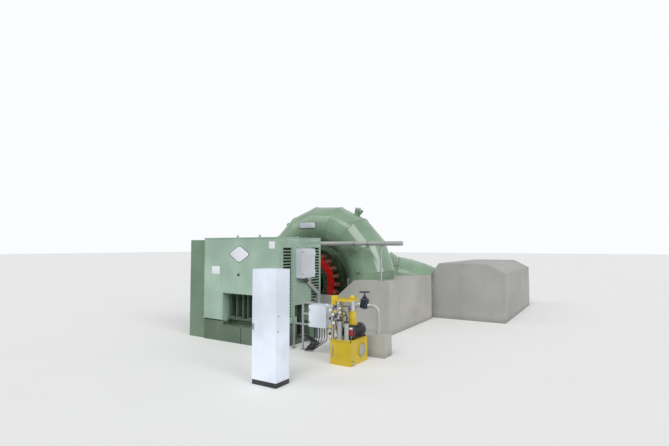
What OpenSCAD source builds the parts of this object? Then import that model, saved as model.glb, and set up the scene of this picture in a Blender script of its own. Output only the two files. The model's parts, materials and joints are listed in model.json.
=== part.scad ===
// Horizontal Francis turbine and generator set, 1:1 in millimetres.
// +X is the right-hand side, +Y points from the generator to the turbine, +Z is up.
// The origin is on the pit floor, under the shaft axis, in the middle plane of the spiral case.

/* [Shaft line] */
// Height of the shaft axis above the floor
shaft_z = 1430; // [1300:10:1500]
// Shaft diameter
shaft_d = 340; // [260:10:400]
// Coupling flange diameter
coupling_d = 660; // [500:10:800]

/* [Generator] */
// Width of the generator housing
housing_w = 2820; // [2400:10:3000]
// Length of the generator housing along the shaft
housing_l = 1960; // [1700:10:2200]
// Height of the generator housing with its roof
housing_h = 2940; // [2800:10:3000]
// How far the housing is off the shaft axis to the left
housing_off = 70; // [0:10:100]
// Distance from the middle plane of the turbine to the rear of the housing
housing_y = 2340; // [2200:10:2500]
// Height of the base frame
base_h = 560; // [500:10:620]
// Width of the cooler box on the left side
cooler_w = 670; // [500:10:800]
// Pitch of the louvre blades
louvre_pitch = 83; // [70:1:110]

/* [Spiral case] */
// Radius of the centre line of the spiral tube
case_r = 1830; // [1750:5:1900]
// How far the centre of that line lies above the shaft axis
case_lift = 120; // [80:5:150]
// Tube radius at the inlet side, on the right
tube_r_big = 806; // [760:2:840]
// Tube radius at the last segment, on the left
tube_r_small = 640; // [600:2:700]
// Angle of each mitred segment
segment_angle = 22.5; // [22.5]
// Angle of the first mitre on the right
first_mitre = -15.2; // [-18:0.2:-12]

/* [Guide vane gear] */
// Number of guide vanes
vane_count = 24; // [24]
// Radius of the circle of vane stems
stem_r = 900; // [880:5:910]
// Length of a gate lever between stem and pin
lever_l = 150; // [130:5:150]
// Diameter of the lever pin
pin_d = 60; // [40:2:64]
// Inner radius of the regulating ring
ring_ri = 735; // [700:5:750]
// Outer radius of the band of the regulating ring
ring_ro = 950; // [920:5:970]
// Radius over the lugs of the regulating ring
ring_tip = 1112; // [1095:2:1120]
// Thickness of the regulating ring
ring_t = 100; // [60:5:110]
// Outer radius of the head cover
cover_r = 1180; // [1150:5:1240]

/* [Concrete] */
// Width of the foundation block
block_w = 6120; // [5800:20:6400]
// Height of the foundation block
block_h = 1610; // [1560:5:1650]
// Distance of the front face of the foundation block from the middle plane
block_front = 1200; // [1180:5:1300]
// Distance of the rear face of the foundation block from the middle plane
block_rear = 2550; // [2500:10:2700]
// Height of the anchor block
anchor_h = 2050; // [1900:10:2200]
// Length of the anchor block along the shaft
anchor_l = 5650; // [4000:50:6000]

/* [Auxiliaries] */
// Height of the control cabinet
cabinet_h = 2240; // [2000:10:2300]
// Height of the oil tank
tank_h = 560; // [500:10:640]
// Diameter of the cooling pipe
pipe_d = 140; // [100:5:160]
// Diameter of the handwheel
handwheel_d = 280; // [240:10:320]

/* [Hidden] */
$fn = 64;
tube_fn = 180;
weld = 0.3;

green = [0.50, 0.64, 0.52];
dark_green = [0.24, 0.38, 0.29];
red = [0.72, 0.07, 0.05];
concrete = [0.66, 0.66, 0.64];
yellow = [0.90, 0.76, 0.10];
white = [0.88, 0.90, 0.94];
grey = [0.55, 0.57, 0.58];
steel = [0.72, 0.73, 0.74];
black = [0.10, 0.10, 0.11];
eps = 1;
big = 9000;

// Positions along the shaft, measured from the middle plane
cover_back = 450;
stay_r = 1300;
cover_front = 700;
boss_front = 730;
arm_back = 800;
arm_front = 860;
ring_back = 900;
ring_front = ring_back + ring_t;
drum_front = ring_front + 1;
keeper_t = 30;
cavity_front = 1050;
cavity_r = 1330;
notch_low = [1215, 1085];
notch_top = 1850;
fit = 0.3;
pin_r = stem_r + lever_l;
pin_front = ring_front + 35;
boss_d = 150;
hub_d = 130;
bearing_r = 420;
coupling_at = 280;
coupling_t = 160;

// Door hinges: barrel radius, distance of the axis from the door's edge, barrel lengths
hinge_r = 8;
hinge_off = 11.5;
barrel_l = 50;
knuckle_l = 30;

// Housing corners
hx0 = -housing_w / 2 - housing_off;
hx1 = housing_w / 2 - housing_off;
hy1 = -housing_y;
hy0 = hy1 - housing_l;
roof_t = 30;
wall_h = housing_h - roof_t;
cooler_h = 2880;
cooler_in = 60;

// Gap between the base frame and the lower edge of the housing, and how far it is cut back
sill_gap = 40;
sill_in = 80;

// Access openings: start from the left or front corner, width, height over the base frame
front_open = [790, 1240, 800];
side_open = [800, 640, 510];
side_pocket = [670, 760, 310];
open_deep = 420;

// Louvre panels: start along the housing side, width, lowest edge and height
louvres = [[172, 392], [1467, 453]];
louvre_z = 745;
louvre_n = floor((wall_h - 190 - louvre_z) / louvre_pitch);
louvre_h = louvre_n * louvre_pitch + 20;
louvre_deep = 60;

// Junction box on the right side of the housing
jbox = [215, 615, 810];
jbox_at = [hx1, -3555, 1820];
jbox_hinges = [120, 640];
door_t = 22;

// Control cabinet
cab_at = [2644, -6700, 0];
cab_w = 607;
cab_d = 418;
plinth_h = 100;
cab_hinges = [350, 1150, 1950];

// Terminal box and its frame
tb_at = [2240, -4200, 680];
tb_size = [515, 310, 540];
tb_hinges = [90, 400];
tf_d = 40;
tf_top = tb_at[2] + tb_size[2] + 20;
tf_posts = [1800, 2740];
tf_foot = 1500;
tf_bars = [640, 920, tf_top - tf_d];

// Oil tank and the pieces on it
tank_at = [3180, -4670, 0];
tank_w = 540;
tank_l = 800;
motor_at = [3500, -4330];
plate_z = 1450;

// Stop valve, ledge and pipes
valve_x = 3405;
valve_y = -3400;
valve_z = 1140;
valve_pipe_r = 48;
valve_side = 120;
wheel_z = 1535;
bend_r = 160;
ledge_at = [3450, -3620, 0];
ledge_size = [600, 420, 520];
drop_x = 3790;
drop_left = 3090;

// Cable duct: section across the housing side, from the floor up to the junction box
duct_t = 70;
duct_at = hy0 + 1820;
duct_w = 100;
duct_bend = 1335;
duct_end = [-3060, 1745];

// Cooling pipe
cp_y = -1000;
cp_z = 2780;
cp_x0 = -block_w / 2 + 1060;
cp_x1 = block_w / 2 + 350;
post_x = block_w / 2 - 360;
post_d = 58;

// Half space on the side of point p that n points to
module half_space(p, n) {
    translate(p)
        rotate([0, acos(n[2] / norm(n)), atan2(n[1], n[0])])
            translate([-big, -big, 0])
                cube([2 * big, 2 * big, 2 * big]);
}

// Cylinder or cone from p to q with radii ra and rb
module rod(p, q, ra, rb) {
    v = q - p;
    translate(p)
        rotate([0, acos(v[2] / norm(v)), atan2(v[1], v[0])])
            cylinder(h = norm(v), r1 = ra, r2 = rb == undef ? ra : rb);
}

// Disc or drum about an axis along Y, from y0 to y1, centred on height z
module drum(r, y0, y1, x = 0, z = shaft_z) {
    translate([x, y1, z])
        rotate([90, 0, 0])
            cylinder(h = y1 - y0, r = r, $fn = r > 400 ? tube_fn : $fn);
}

// Straight lengths that meet on the bisecting planes, with radius r[i] at each point
function unit(v) = v / norm(v);
function mitre_n(p, i) = i == 0 ? unit(p[1] - p[0])
    : i == len(p) - 1 ? unit(p[i] - p[i - 1])
    : unit(unit(p[i] - p[i - 1]) + unit(p[i + 1] - p[i]));

module mitred_length(p, r, i, gap) {
    v = p[i + 1] - p[i];
    d = norm(v);
    u = v / d;
    run = 0.6 * max(r[i], r[i + 1]);
    taper = run * (r[i] - r[i + 1]) / d;
    intersection() {
        rod(p[i] - u * run, p[i + 1] + u * run, r[i] + taper, r[i + 1] - taper, $fn = tube_fn);
        half_space(p[i] + gap * mitre_n(p, i), mitre_n(p, i));
        half_space(p[i + 1] - gap * mitre_n(p, i + 1), -mitre_n(p, i + 1));
    }
}

module mitred_tube(p, r, gap) {
    for (i = [0 : len(p) - 2])
        mitred_length(p, r, i, gap);
}

// Points of the spiral centre line and the tube radius at each
case_n = 9;
case_z = shaft_z + case_lift;
function case_angle(i) = first_mitre + i * segment_angle;
case_pts = [for (i = [0 : case_n])
    [case_r / cos(segment_angle / 2) * cos(case_angle(i)), 0,
     case_z + case_r / cos(segment_angle / 2) * sin(case_angle(i))]];
case_rad = [for (i = [0 : case_n]) tube_r_big + (tube_r_small - tube_r_big) * i / case_n];

// Draft tube centre line and radii
draft_pts = [[0, cover_back, shaft_z], [0, 1200, shaft_z], [280, 1720, shaft_z],
    [1400, 2520, shaft_z + 10], [1590, 2620, shaft_z - 10], [1980, 2800, shaft_z - 100],
    [2340, 2950, shaft_z - 220], [2700, 3100, shaft_z - 400], [2980, 3220, shaft_z - 690],
    [3420, 3410, shaft_z - 1200]];
draft_rad = [820, 880, 960, 1000, 870, 870, 870, 890, 910, 940];

// Anchor block: section across the shaft, left side first
anchor_y = block_rear + 300;
anchor_x = [block_w / 2 - 260, block_w / 2 + 2540];

module foundation_block() {
    color(concrete)
    difference() {
        translate([-block_w / 2, -block_front, 0])
            cube([block_w, block_front + block_rear, block_h]);
        drum(cavity_r, -cavity_front, -cover_back);
        pit_notch();
    }
}

// Notch in the front wall, cut back to the plane of the head cover
module pit_notch() {
    translate([0, -cover_back, 0])
        rotate([90, 0, 0])
            linear_extrude(block_front - cover_back + eps)
                polygon([[-notch_low[0], notch_low[1]], notch_low, [notch_top, block_h + eps],
                         [-notch_top, block_h + eps]]);
}

module anchor_block() {
    color(concrete)
    translate([0, anchor_y + anchor_l, 0])
        rotate([90, 0, 0])
            linear_extrude(anchor_l)
                polygon([[anchor_x[0], 0], [anchor_x[1], 0], [anchor_x[1], anchor_h - 320],
                         [anchor_x[1] - 600, anchor_h], [anchor_x[0] + 450, anchor_h],
                         [anchor_x[0], anchor_h - 650]]);
}

module generator_base() {
    color(dark_green)
    difference() {
        translate([hx0 + 15, hy0 + 15, 0])
            cube([housing_w - 30, housing_l - 30, base_h]);
        translate([hx0 + front_open[0], hy0 - eps, base_h - 100])
            cube([front_open[1], open_deep - 120, 100 + eps]);
        translate([-10, hy0 - eps, -eps])
            cube([20, 60, base_h]);
        translate([hx1 - open_deep, hy0 + side_open[0], 120])
            cube([open_deep + eps, side_open[1], base_h]);
    }
}

module generator_housing() {
    color(green)
    difference() {
        translate([hx0, hy0, base_h])
            cube([housing_w, housing_l, wall_h - base_h]);
        // Shadow gap over the base frame
        difference() {
            translate([hx0 - eps, hy0 - eps, base_h - eps])
                cube([housing_w + 2 * eps, housing_l + 2 * eps, sill_gap + eps]);
            translate([hx0 + sill_in, hy0 + sill_in, base_h - 2 * eps])
                cube([housing_w - 2 * sill_in, housing_l - 2 * sill_in, sill_gap + 4 * eps]);
        }
        // Access openings
        translate([hx1 - open_deep, hy0 + side_open[0], base_h - eps])
            cube([open_deep + eps, side_open[1], side_open[2] + eps]);
        translate([hx1 - 60, hy0 + side_pocket[0], side_pocket[1]])
            cube([60 + eps, side_open[0] - side_pocket[0] + eps, side_pocket[2]]);
        translate([hx0 + front_open[0], hy0 - eps, base_h - eps])
            cube([front_open[1], open_deep, front_open[2] + eps]);
        for (l = louvres)
            translate([hx1 - louvre_deep, hy0 + l[0], louvre_z])
                cube([louvre_deep + eps, l[1], louvre_h]);
    }
}

module housing_roof() {
    color(green) {
        translate([hx0 - 10, hy0 - 10, wall_h])
            cube([housing_w + 20, housing_l + 20, roof_t]);
        for (x = [hx0 + 1230, hx0 + 2060], y = [hy0 + 110, hy1 - 110])
            translate([x - 12, y, housing_h])
                difference() {
                    union() {
                        translate([0, -30, -eps])
                            cube([24, 60, 36]);
                        translate([0, 0, 35])
                            rotate([0, 90, 0])
                                cylinder(h = 24, r = 30);
                    }
                    translate([-eps, 0, 37])
                        rotate([0, 90, 0])
                            cylinder(h = 30, r = 14);
                }
    }
}

module cooler_box() {
    color(dark_green)
    difference() {
        translate([hx0 - cooler_w, hy0 + cooler_in, 0])
            cube([cooler_w, housing_l - cooler_in, cooler_h]);
        for (l = louvres)
            translate([hx0 - cooler_w - eps, hy0 + l[0], louvre_z])
                cube([louvre_deep + eps, l[1], louvre_h]);
    }
}

module louvre_panel(w) {
    bar = 22;
    difference() {
        cube([20, w, louvre_h]);
        translate([-eps, bar, bar])
            cube([22, w - 2 * bar, louvre_h - 2 * bar]);
    }
    for (k = [1 : louvre_n - 1])
        translate([9, bar - eps, k * louvre_pitch])
            rotate([0, 35, 0])
                translate([-32, 0, -5])
                    cube([44, w - 2 * bar + 2 * eps, 10]);
}

module louvre_panels() {
    color(green)
    for (l = louvres) {
        translate([hx1 - 24, hy0 + l[0], louvre_z])
            louvre_panel(l[1]);
        translate([hx0 - cooler_w + 24, hy0 + l[0], louvre_z])
            mirror([1, 0, 0])
                louvre_panel(l[1]);
    }
}

module junction_box() {
    color(white)
    translate(jbox_at) {
        difference() {
            cube([jbox[0] - door_t - fit, jbox[1], jbox[2]]);
            translate([40, 25, 25])
                cube([jbox[0], jbox[1] - 50, jbox[2] - 50]);
        }
        for (k = [0 : 3])
            translate([90, 120 + k * 125, -40])
                cylinder(h = 40 + eps, r = 22);
        translate([jbox[0], jbox[1] + hinge_off, 0])
            box_knuckles(jbox_hinges);
    }
}

module junction_box_door() {
    color(white)
    translate(jbox_at) {
        translate([jbox[0] - door_t, 0, 0])
            cube([door_t, jbox[1], jbox[2]]);
        translate([jbox[0], jbox[1] + hinge_off, 0])
            door_barrels(jbox_hinges);
    }
}

// Hinge parts about a vertical axis at the origin, for a door that reaches to -Y from it.
// Its outer face is in the plane X = 0.
module door_barrels(heights) {
    for (z = heights) {
        translate([0, 0, z])
            cylinder(h = barrel_l, r = hinge_r);
        translate([-7, -hinge_off - 20, z])
            cube([6, hinge_off + 20, barrel_l]);
    }
}

module box_knuckles(heights) {
    for (z = heights, low = [z - knuckle_l - fit, z + barrel_l + fit]) {
        translate([0, 0, low])
            cylinder(h = knuckle_l, r = hinge_r);
        translate([-70, -hinge_off, low])
            cube([70, 6, knuckle_l]);
    }
}

module cable_duct() {
    color(grey) {
        translate([hx1, 0, 0])
            rotate([90, 0, 90])
                linear_extrude(duct_t)
                    polygon([[duct_at, 0], [duct_at, duct_bend], duct_end,
                             duct_end - [55, 80], [duct_at - duct_w, duct_bend - 50],
                             [duct_at - duct_w, 0]]);
    }
}

module above_block() {
    translate([-big, -big, block_h])
        cube([2 * big, 2 * big, big]);
}

// The spiral tube shows above the foundation block and in the notch
module spiral_case() {
    color(green)
    intersection() {
        difference() {
            mitred_tube(case_pts, case_rad, weld);
            drum(cavity_r, -2000, -cover_back);
            drum(stay_r, -cover_back - eps, 2000);
        }
        union() {
            above_block();
            pit_notch();
        }
    }
}

module stay_ring() {
    color(green)
    intersection() {
        drum(stay_r - fit, -cover_back, cover_back);
        above_block();
    }
}

module inspection_cover() {
    color(green)
    difference() {
        translate([0, 200, case_z])
            rotate([0, 28, 0])
                translate([0, 0, case_r + 600]) {
                    cylinder(h = 260, r = 110);
                    translate([0, 0, 260])
                        cylinder(h = 40, r = 150);
                }
        spiral_case();
    }
}

module head_cover() {
    color(dark_green) {
        difference() {
            union() {
                drum(cover_r, -cover_front, -cover_back);
                drum(ring_ri - fit, -drum_front, -cover_front);
                for (k = [0 : vane_count - 1])
                    rotate_about_shaft(k)
                        translate([stem_r, 0, 0])
                            local_drum(boss_d / 2, -boss_front, -cover_front);
                for (k = [0 : 7])
                    rotate_about_shaft(k * 3 + 1.5)
                        translate([ring_ri - 45, -drum_front - keeper_t, -60])
                            cube([80, keeper_t, 120]);
            }
            drum(560, -drum_front - eps, -760);
        }
    }
}

module rotate_about_shaft(k) {
    translate([0, 0, shaft_z])
        rotate([0, -k * 360 / vane_count, 0])
            children();
}

module local_drum(r, y0, y1) {
    translate([0, y1, 0])
        rotate([90, 0, 0])
            cylinder(h = y1 - y0, r = r);
}

module guide_bearing() {
    color(green) {
        drum(bearing_r, -drum_front - 20, -760);
        drum(300, -drum_front - 60, -drum_front - 20);
    }
}

module main_shaft() {
    color(steel) {
        drum(shaft_d / 2, -housing_y, -drum_front - 60);
        drum(coupling_d / 2, coupling_at - housing_y, coupling_at + coupling_t - housing_y);
    }
}

module draft_tube() {
    color(green)
    difference() {
        mitred_tube(draft_pts, draft_rad, weld);
        translate([-block_w / 2 - eps, -block_front, -eps])
            cube([block_w + 2, block_front + block_rear, block_h + eps]);
        anchor_block();
        translate([-big, -big, -big])
            cube([2 * big, 3 * big, big]);
    }
}

module cooling_pipe() {
    color(grey) {
        rod([cp_x0, cp_y, cp_z], [cp_x1, cp_y, cp_z], pipe_d / 2);
        rod([cp_x0, cp_y, block_h], [cp_x0, cp_y, cp_z], pipe_d / 2);
    }
}

module pipe_support() {
    color(grey)
    translate([post_x, cp_y, block_h]) {
        translate([-90, -90, 0])
            cube([180, 180, 15]);
        cylinder(h = cp_z - pipe_d / 2 - block_h - 30, r = post_d / 2);
        translate([-35, -60, cp_z - pipe_d / 2 - block_h - 31])
            cube([70, 120, 31]);
    }
}

module control_cabinet() {
    color(white)
    translate(cab_at) {
        difference() {
            translate([0, door_t + fit, 0])
                cube([cab_w, cab_d - door_t - fit, cabinet_h]);
            translate([30, -eps, plinth_h + 30])
                cube([cab_w - 60, cab_d - 40, cabinet_h - plinth_h - 60]);
        }
        translate([cab_w + hinge_off, 0, 0])
            rotate([0, 0, -90])
                box_knuckles(cab_hinges);
    }
}

module control_cabinet_door() {
    color(white)
    translate(cab_at) {
        translate([0, 0, plinth_h])
            cube([cab_w, door_t, cabinet_h - plinth_h]);
        translate([cab_w + hinge_off, 0, 0])
            rotate([0, 0, -90])
                door_barrels(cab_hinges);
    }
}

module terminal_frame() {
    color(grey)
    translate([0, tb_at[1] + tb_size[1], 0]) {
        for (x = tf_posts)
            translate([x, 0, 0])
                cube([tf_d, tf_d, tf_top]);
        for (z = tf_bars)
            translate([tf_posts[0], 0, z])
                cube([tf_posts[1] - tf_posts[0] + tf_d, tf_d, tf_d]);
        translate([tf_foot, 0, tf_bars[0]])
            cube([tf_posts[0] - tf_foot + eps, tf_d, tf_d]);
        translate([tf_foot, 0, 0])
            cube([tf_d, tf_d, tf_bars[0] + eps]);
    }
}

module terminal_box() {
    color(white)
    translate(tb_at) {
        difference() {
            translate([0, door_t + fit, 0])
                cube([tb_size[0], tb_size[1] - door_t - fit, tb_size[2]]);
            translate([25, -eps, 25])
                cube([tb_size[0] - 50, tb_size[1] - 30, tb_size[2] - 50]);
        }
        translate([tb_size[0] + hinge_off, 0, 0])
            rotate([0, 0, -90])
                box_knuckles(tb_hinges);
    }
}

module terminal_box_door() {
    color(white)
    translate(tb_at) {
        cube([tb_size[0], door_t, tb_size[2]]);
        translate([tb_size[0] + hinge_off, 0, 0])
            rotate([0, 0, -90])
                door_barrels(tb_hinges);
    }
}

// Tank with a round cover on the right side
module oil_tank() {
    color(yellow) {
        translate(tank_at)
            cube([tank_w, tank_l, tank_h]);
        translate(tank_at + [tank_w - eps, 498, 290])
            rotate([0, 90, 0])
                cylinder(h = 22, r = 165);
    }
}

// Motor lying along the tank, on two feet, with a mounting block on top
module pump_motor() {
    top = plate_z - 590;
    color(black) {
        drum(140, motor_at[1] - 150, motor_at[1] + 400, motor_at[0] + 55, tank_h + 160);
        for (y = [-60, 260])
            translate([motor_at[0] - 65, motor_at[1] + y, tank_h])
                cube([240, 60, 60]);
        translate([motor_at[0] - 40, motor_at[1] - 70, tank_h + 250])
            cube([190, 200, top - tank_h - 230]);
    }
}

module accumulator() {
    base = plate_z - 570;
    color(yellow)
    translate([motor_at[0] + 60, motor_at[1] + 30, base]) {
        cylinder(h = 290, r = 88);
        translate([0, 0, 120])
            cylinder(h = 30, r = 98);
    }
}

// Valve block under the top plate, and the bright cylinder over the accumulator
module valve_manifold() {
    color(steel) {
        translate([motor_at[0] - 250, -4600, plate_z - 450])
            cube([130, 130, 430]);
        translate([motor_at[0] + 60, motor_at[1] + 30, plate_z - 280])
            cylinder(h = 260, r = 55);
    }
}

module hydraulic_stand() {
    color(yellow) {
        translate(tank_at + [12, 22, tank_h])
            cube([50, 50, plate_z - tank_h - 20 + eps]);
        translate(tank_at + [12, 22, plate_z - 20])
            cube([470, 470, 40]);
        translate(tank_at + [12, 442, tank_h])
            cube([50, 50, plate_z - tank_h - 20 + eps]);
    }
}

module oil_filters() {
    color(grey) {
        translate([3377, -4570, tank_h])
            cylinder(h = 420, r = 66);
        translate([3566, -4585, tank_h])
            cylinder(h = 390, r = 52);
    }
}

module valve_ledge() {
    color(concrete)
    translate(ledge_at)
        cube(ledge_size);
}

module stop_valve() {
    color(black)
    translate([valve_x, valve_y, 0]) {
        translate([0, 0, valve_z])
            cylinder(h = 215, r = 105);
        rod([-valve_side, 0, valve_z + 60], [valve_side, 0, valve_z + 60], valve_pipe_r + 8);
        translate([0, 0, valve_z + 214])
            cylinder(h = 60, r = 60);
        translate([0, 0, valve_z + 273])
            cylinder(h = wheel_z - 15 - valve_z - 273, r = 16);
    }
}

module handwheel() {
    color(black)
    translate([valve_x, valve_y, wheel_z]) {
        rotate_extrude()
            translate([handwheel_d / 2 - 13, 0])
                circle(r = 13);
        translate([0, 0, -14.7])
            cylinder(h = 29, r = 30);
        for (a = [0, 60, 120])
            rotate([0, 0, a])
                translate([-handwheel_d / 2 + 13, -9, -6])
                    cube([handwheel_d - 26, 18, 12]);
    }
}

// Pipe through the valve, bent down at both ends: to the floor and into the ledge
module valve_branch(run, foot) {
    rod([valve_side, 0, 0], [run - bend_r, 0, 0], valve_pipe_r);
    rod([valve_side, 0, 0], [valve_side + 60, 0, 0], valve_pipe_r + 14);
    translate([run - bend_r, 0, -bend_r])
        rotate([90, 0, 0])
            rotate_extrude(angle = 90)
                translate([bend_r, 0])
                    circle(r = valve_pipe_r);
    rod([run, 0, -bend_r], [run, 0, foot - valve_z - 60], valve_pipe_r);
}

module valve_pipe() {
    color(grey)
    translate([valve_x, valve_y, valve_z + 60]) {
        valve_branch(drop_x - valve_x, ledge_size[2]);
        mirror([1, 0, 0])
            valve_branch(valve_x - drop_left, 0);
    }
}

module regulating_ring() {
    color(red)
    difference() {
        union() {
            drum(ring_ro, -ring_front, -ring_back);
            for (k = [0 : vane_count - 1])
                rotate_about_shaft(k)
                    translate([ring_ro - 50, -ring_front, -pin_d])
                        cube([ring_tip - ring_ro + 50, ring_t, 2 * pin_d]);
        }
        drum(ring_ri, -ring_front - eps, -ring_back + eps);
        for (k = [0 : vane_count - 1])
            rotate_about_shaft(k)
                translate([pin_r - pin_d / 2 - 18, -ring_front - eps, -pin_d / 2 - 3])
                    cube([200, ring_t + 2 * eps, pin_d + 6]);
    }
}

module gate_lever(k) {
    color(green)
    rotate_about_shaft(k - 1) {
        translate([stem_r, 0, 0])
            local_drum(hub_d / 2, -arm_front, -boss_front - fit);
        translate([stem_r, -arm_front, -40])
            cube([lever_l, arm_front - arm_back, 80]);
        translate([pin_r, 0, 0])
            local_drum(45, -arm_front, -arm_back);
        translate([pin_r, 0, 0])
            local_drum(pin_d / 2, -pin_front, -arm_back);
    }
}

foundation_block();
anchor_block();
generator_base();
generator_housing();
housing_roof();
cooler_box();
louvre_panels();
junction_box();
junction_box_door();
cable_duct();
spiral_case();
stay_ring();
inspection_cover();
head_cover();
guide_bearing();
main_shaft();
draft_tube();
cooling_pipe();
pipe_support();
control_cabinet();
control_cabinet_door();
terminal_frame();
terminal_box();
terminal_box_door();
oil_tank();
pump_motor();
accumulator();
valve_manifold();
hydraulic_stand();
oil_filters();
valve_ledge();
stop_valve();
handwheel();
valve_pipe();
regulating_ring();
gate_lever(1);  // gate_lever_01
gate_lever(2);  // gate_lever_02
gate_lever(3);  // gate_lever_03
gate_lever(4);  // gate_lever_04
gate_lever(5);  // gate_lever_05
gate_lever(6);  // gate_lever_06
gate_lever(7);  // gate_lever_07
gate_lever(8);  // gate_lever_08
gate_lever(9);  // gate_lever_09
gate_lever(10);  // gate_lever_10
gate_lever(11);  // gate_lever_11
gate_lever(12);  // gate_lever_12
gate_lever(13);  // gate_lever_13
gate_lever(14);  // gate_lever_14
gate_lever(15);  // gate_lever_15
gate_lever(16);  // gate_lever_16
gate_lever(17);  // gate_lever_17
gate_lever(18);  // gate_lever_18
gate_lever(19);  // gate_lever_19
gate_lever(20);  // gate_lever_20
gate_lever(21);  // gate_lever_21
gate_lever(22);  // gate_lever_22
gate_lever(23);  // gate_lever_23
gate_lever(24);  // gate_lever_24
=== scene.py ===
"""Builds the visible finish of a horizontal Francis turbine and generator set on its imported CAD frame."""

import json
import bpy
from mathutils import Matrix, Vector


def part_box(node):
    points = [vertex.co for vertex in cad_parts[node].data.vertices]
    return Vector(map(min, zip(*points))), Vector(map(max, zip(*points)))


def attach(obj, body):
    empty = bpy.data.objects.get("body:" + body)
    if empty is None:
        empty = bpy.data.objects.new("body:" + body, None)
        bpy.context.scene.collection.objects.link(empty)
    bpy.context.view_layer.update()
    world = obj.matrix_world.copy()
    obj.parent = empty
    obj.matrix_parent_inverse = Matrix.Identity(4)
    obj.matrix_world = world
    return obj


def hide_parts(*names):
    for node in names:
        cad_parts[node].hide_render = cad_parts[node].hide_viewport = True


bl_info = {
    "name": "Hydro Set Finish",
    "version": (1, 0, 0),
    "blender": (4, 5, 0),
    "location": "View3D > Sidebar > Hydro Set",
    "description": "Paint, bolts, weld seams and fittings of a horizontal hydroelectric generating set",
    "category": "Object",
}

from math import cos, hypot, pi, radians, sin, tan

import bmesh
import bpy
from bpy.props import FloatProperty, FloatVectorProperty, IntProperty, PointerProperty
from mathutils import Matrix, Vector

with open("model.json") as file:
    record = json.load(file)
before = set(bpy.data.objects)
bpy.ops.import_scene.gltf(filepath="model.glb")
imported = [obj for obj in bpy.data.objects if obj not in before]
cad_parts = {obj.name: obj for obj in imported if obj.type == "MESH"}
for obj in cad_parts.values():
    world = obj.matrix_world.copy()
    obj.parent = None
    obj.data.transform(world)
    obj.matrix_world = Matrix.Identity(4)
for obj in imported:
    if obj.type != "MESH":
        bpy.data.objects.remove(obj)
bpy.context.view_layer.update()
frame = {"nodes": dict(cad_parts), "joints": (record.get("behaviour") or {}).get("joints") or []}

PLANT = "fixed_plant"
X, Y, Z = Vector((1, 0, 0)), Vector((0, 1, 0)), Vector((0, 0, 1))
FRONT = Vector((0, -1, 0))
UPRIGHT = Matrix.Identity(4)

# Axis of the shaft, top of the foundation block, and the ring that carries the levers' pins, in metres.
AXIS_Z = next(j for j in frame["joints"] if j["name"] == "ring_turn")["pos_m"][2]
DECK_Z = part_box("foundation_block")[1].z
VANES = 24
PIN_R = 1.05

# Spiral casing, as in the CAD model: its mitred lengths in degrees, and its tube from large to small.
CASE_Z = AXIS_Z + 0.12
CASE_R = 1.83
CASE_STEP = 22.5
CASE_FIRST = -15.2
CASE_COUNT = 9
TUBE_BIG = 0.806
TUBE_SMALL = 0.64

# Small parts that several groups use, and the camera's film and reach.
FOOT_BOLT = 0.028
SENSOR_WIDTH = 36.0
VIEW_DEPTH = 400.0


# Node graphs


class Wire:
    """One socket of a tree, with the arithmetic that the materials and trees use."""

    def __init__(self, graph, socket):
        self.graph = graph
        self.socket = socket

    def __add__(self, other):
        return self.graph.math("ADD", self, other)

    def __radd__(self, other):
        return self.graph.math("ADD", other, self)

    def __sub__(self, other):
        return self.graph.math("SUBTRACT", self, other)

    def __rsub__(self, other):
        return self.graph.math("SUBTRACT", other, self)

    def __mul__(self, other):
        return self.graph.math("MULTIPLY", self, other)

    def __rmul__(self, other):
        return self.graph.math("MULTIPLY", other, self)

    def __mod__(self, other):
        return self.graph.math("FLOORED_MODULO", self, other)

    def __abs__(self):
        return self.graph.math("ABSOLUTE", self)


class Graph:
    """A shader or geometry tree that is filled node by node."""

    def __init__(self, tree):
        self.tree = tree
        self.source = None

    def add(self, kind, settings=None, sockets=None, output=0):
        """Adds one node: its settings first, then its sockets, and gives one output."""
        node = self.tree.nodes.new(kind)
        for name, value in (settings or {}).items():
            setattr(node, name, value)
        for key, value in (sockets or {}).items():
            for item in value if isinstance(value, list) else [value]:
                if isinstance(item, Wire):
                    self.tree.links.new(item.socket, node.inputs[key])
                else:
                    node.inputs[key].default_value = item
        return Wire(self, node.outputs[output]) if len(node.outputs) else None

    def math(self, operation, first, second=0.0):
        return self.add("ShaderNodeMath", {"operation": operation}, {0: first, 1: second})

    def take(self, name):
        """One named input of a geometry tree."""
        if self.source is None:
            self.source = self.tree.nodes.new("NodeGroupInput")
        return Wire(self, self.source.outputs[name])

    def vector(self, operation, first, second, output=0):
        return self.add("ShaderNodeVectorMath", {"operation": operation}, {0: first, 1: second}, output)

    def split(self, vector, axis):
        return self.add("ShaderNodeSeparateXYZ", {}, {0: vector}, axis)

    def join(self, x=0.0, y=0.0, z=0.0):
        return self.add("ShaderNodeCombineXYZ", {}, {"X": x, "Y": y, "Z": z})

    def mix(self, factor, first, second):
        """Mixes two colours."""
        first = (*first, 1.0) if isinstance(first, tuple) else first
        second = (*second, 1.0) if isinstance(second, tuple) else second
        settings = {"data_type": "RGBA", "clamp_factor": True}
        return self.add("ShaderNodeMix", settings, {0: factor, 6: first, 7: second}, 2)

    def band(self, value, low, high):
        """A soft step of a value, from 0 at one limit to 1 at the other."""
        sockets = {"Value": value, "From Min": low, "From Max": high}
        return self.add("ShaderNodeMapRange", {"interpolation_type": "SMOOTHSTEP"}, sockets)

    def noise(self, place, scale, detail=3.0, rough=0.5, stretch=None):
        if stretch:
            place = self.vector("MULTIPLY", place, stretch)
        sockets = {"Vector": place, "Scale": scale, "Detail": detail, "Roughness": rough}
        return self.add("ShaderNodeTexNoise", {}, sockets)

    def cells(self, place, scale, output="Distance"):
        return self.add("ShaderNodeTexVoronoi", {}, {"Vector": place, "Scale": scale}, output)


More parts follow.
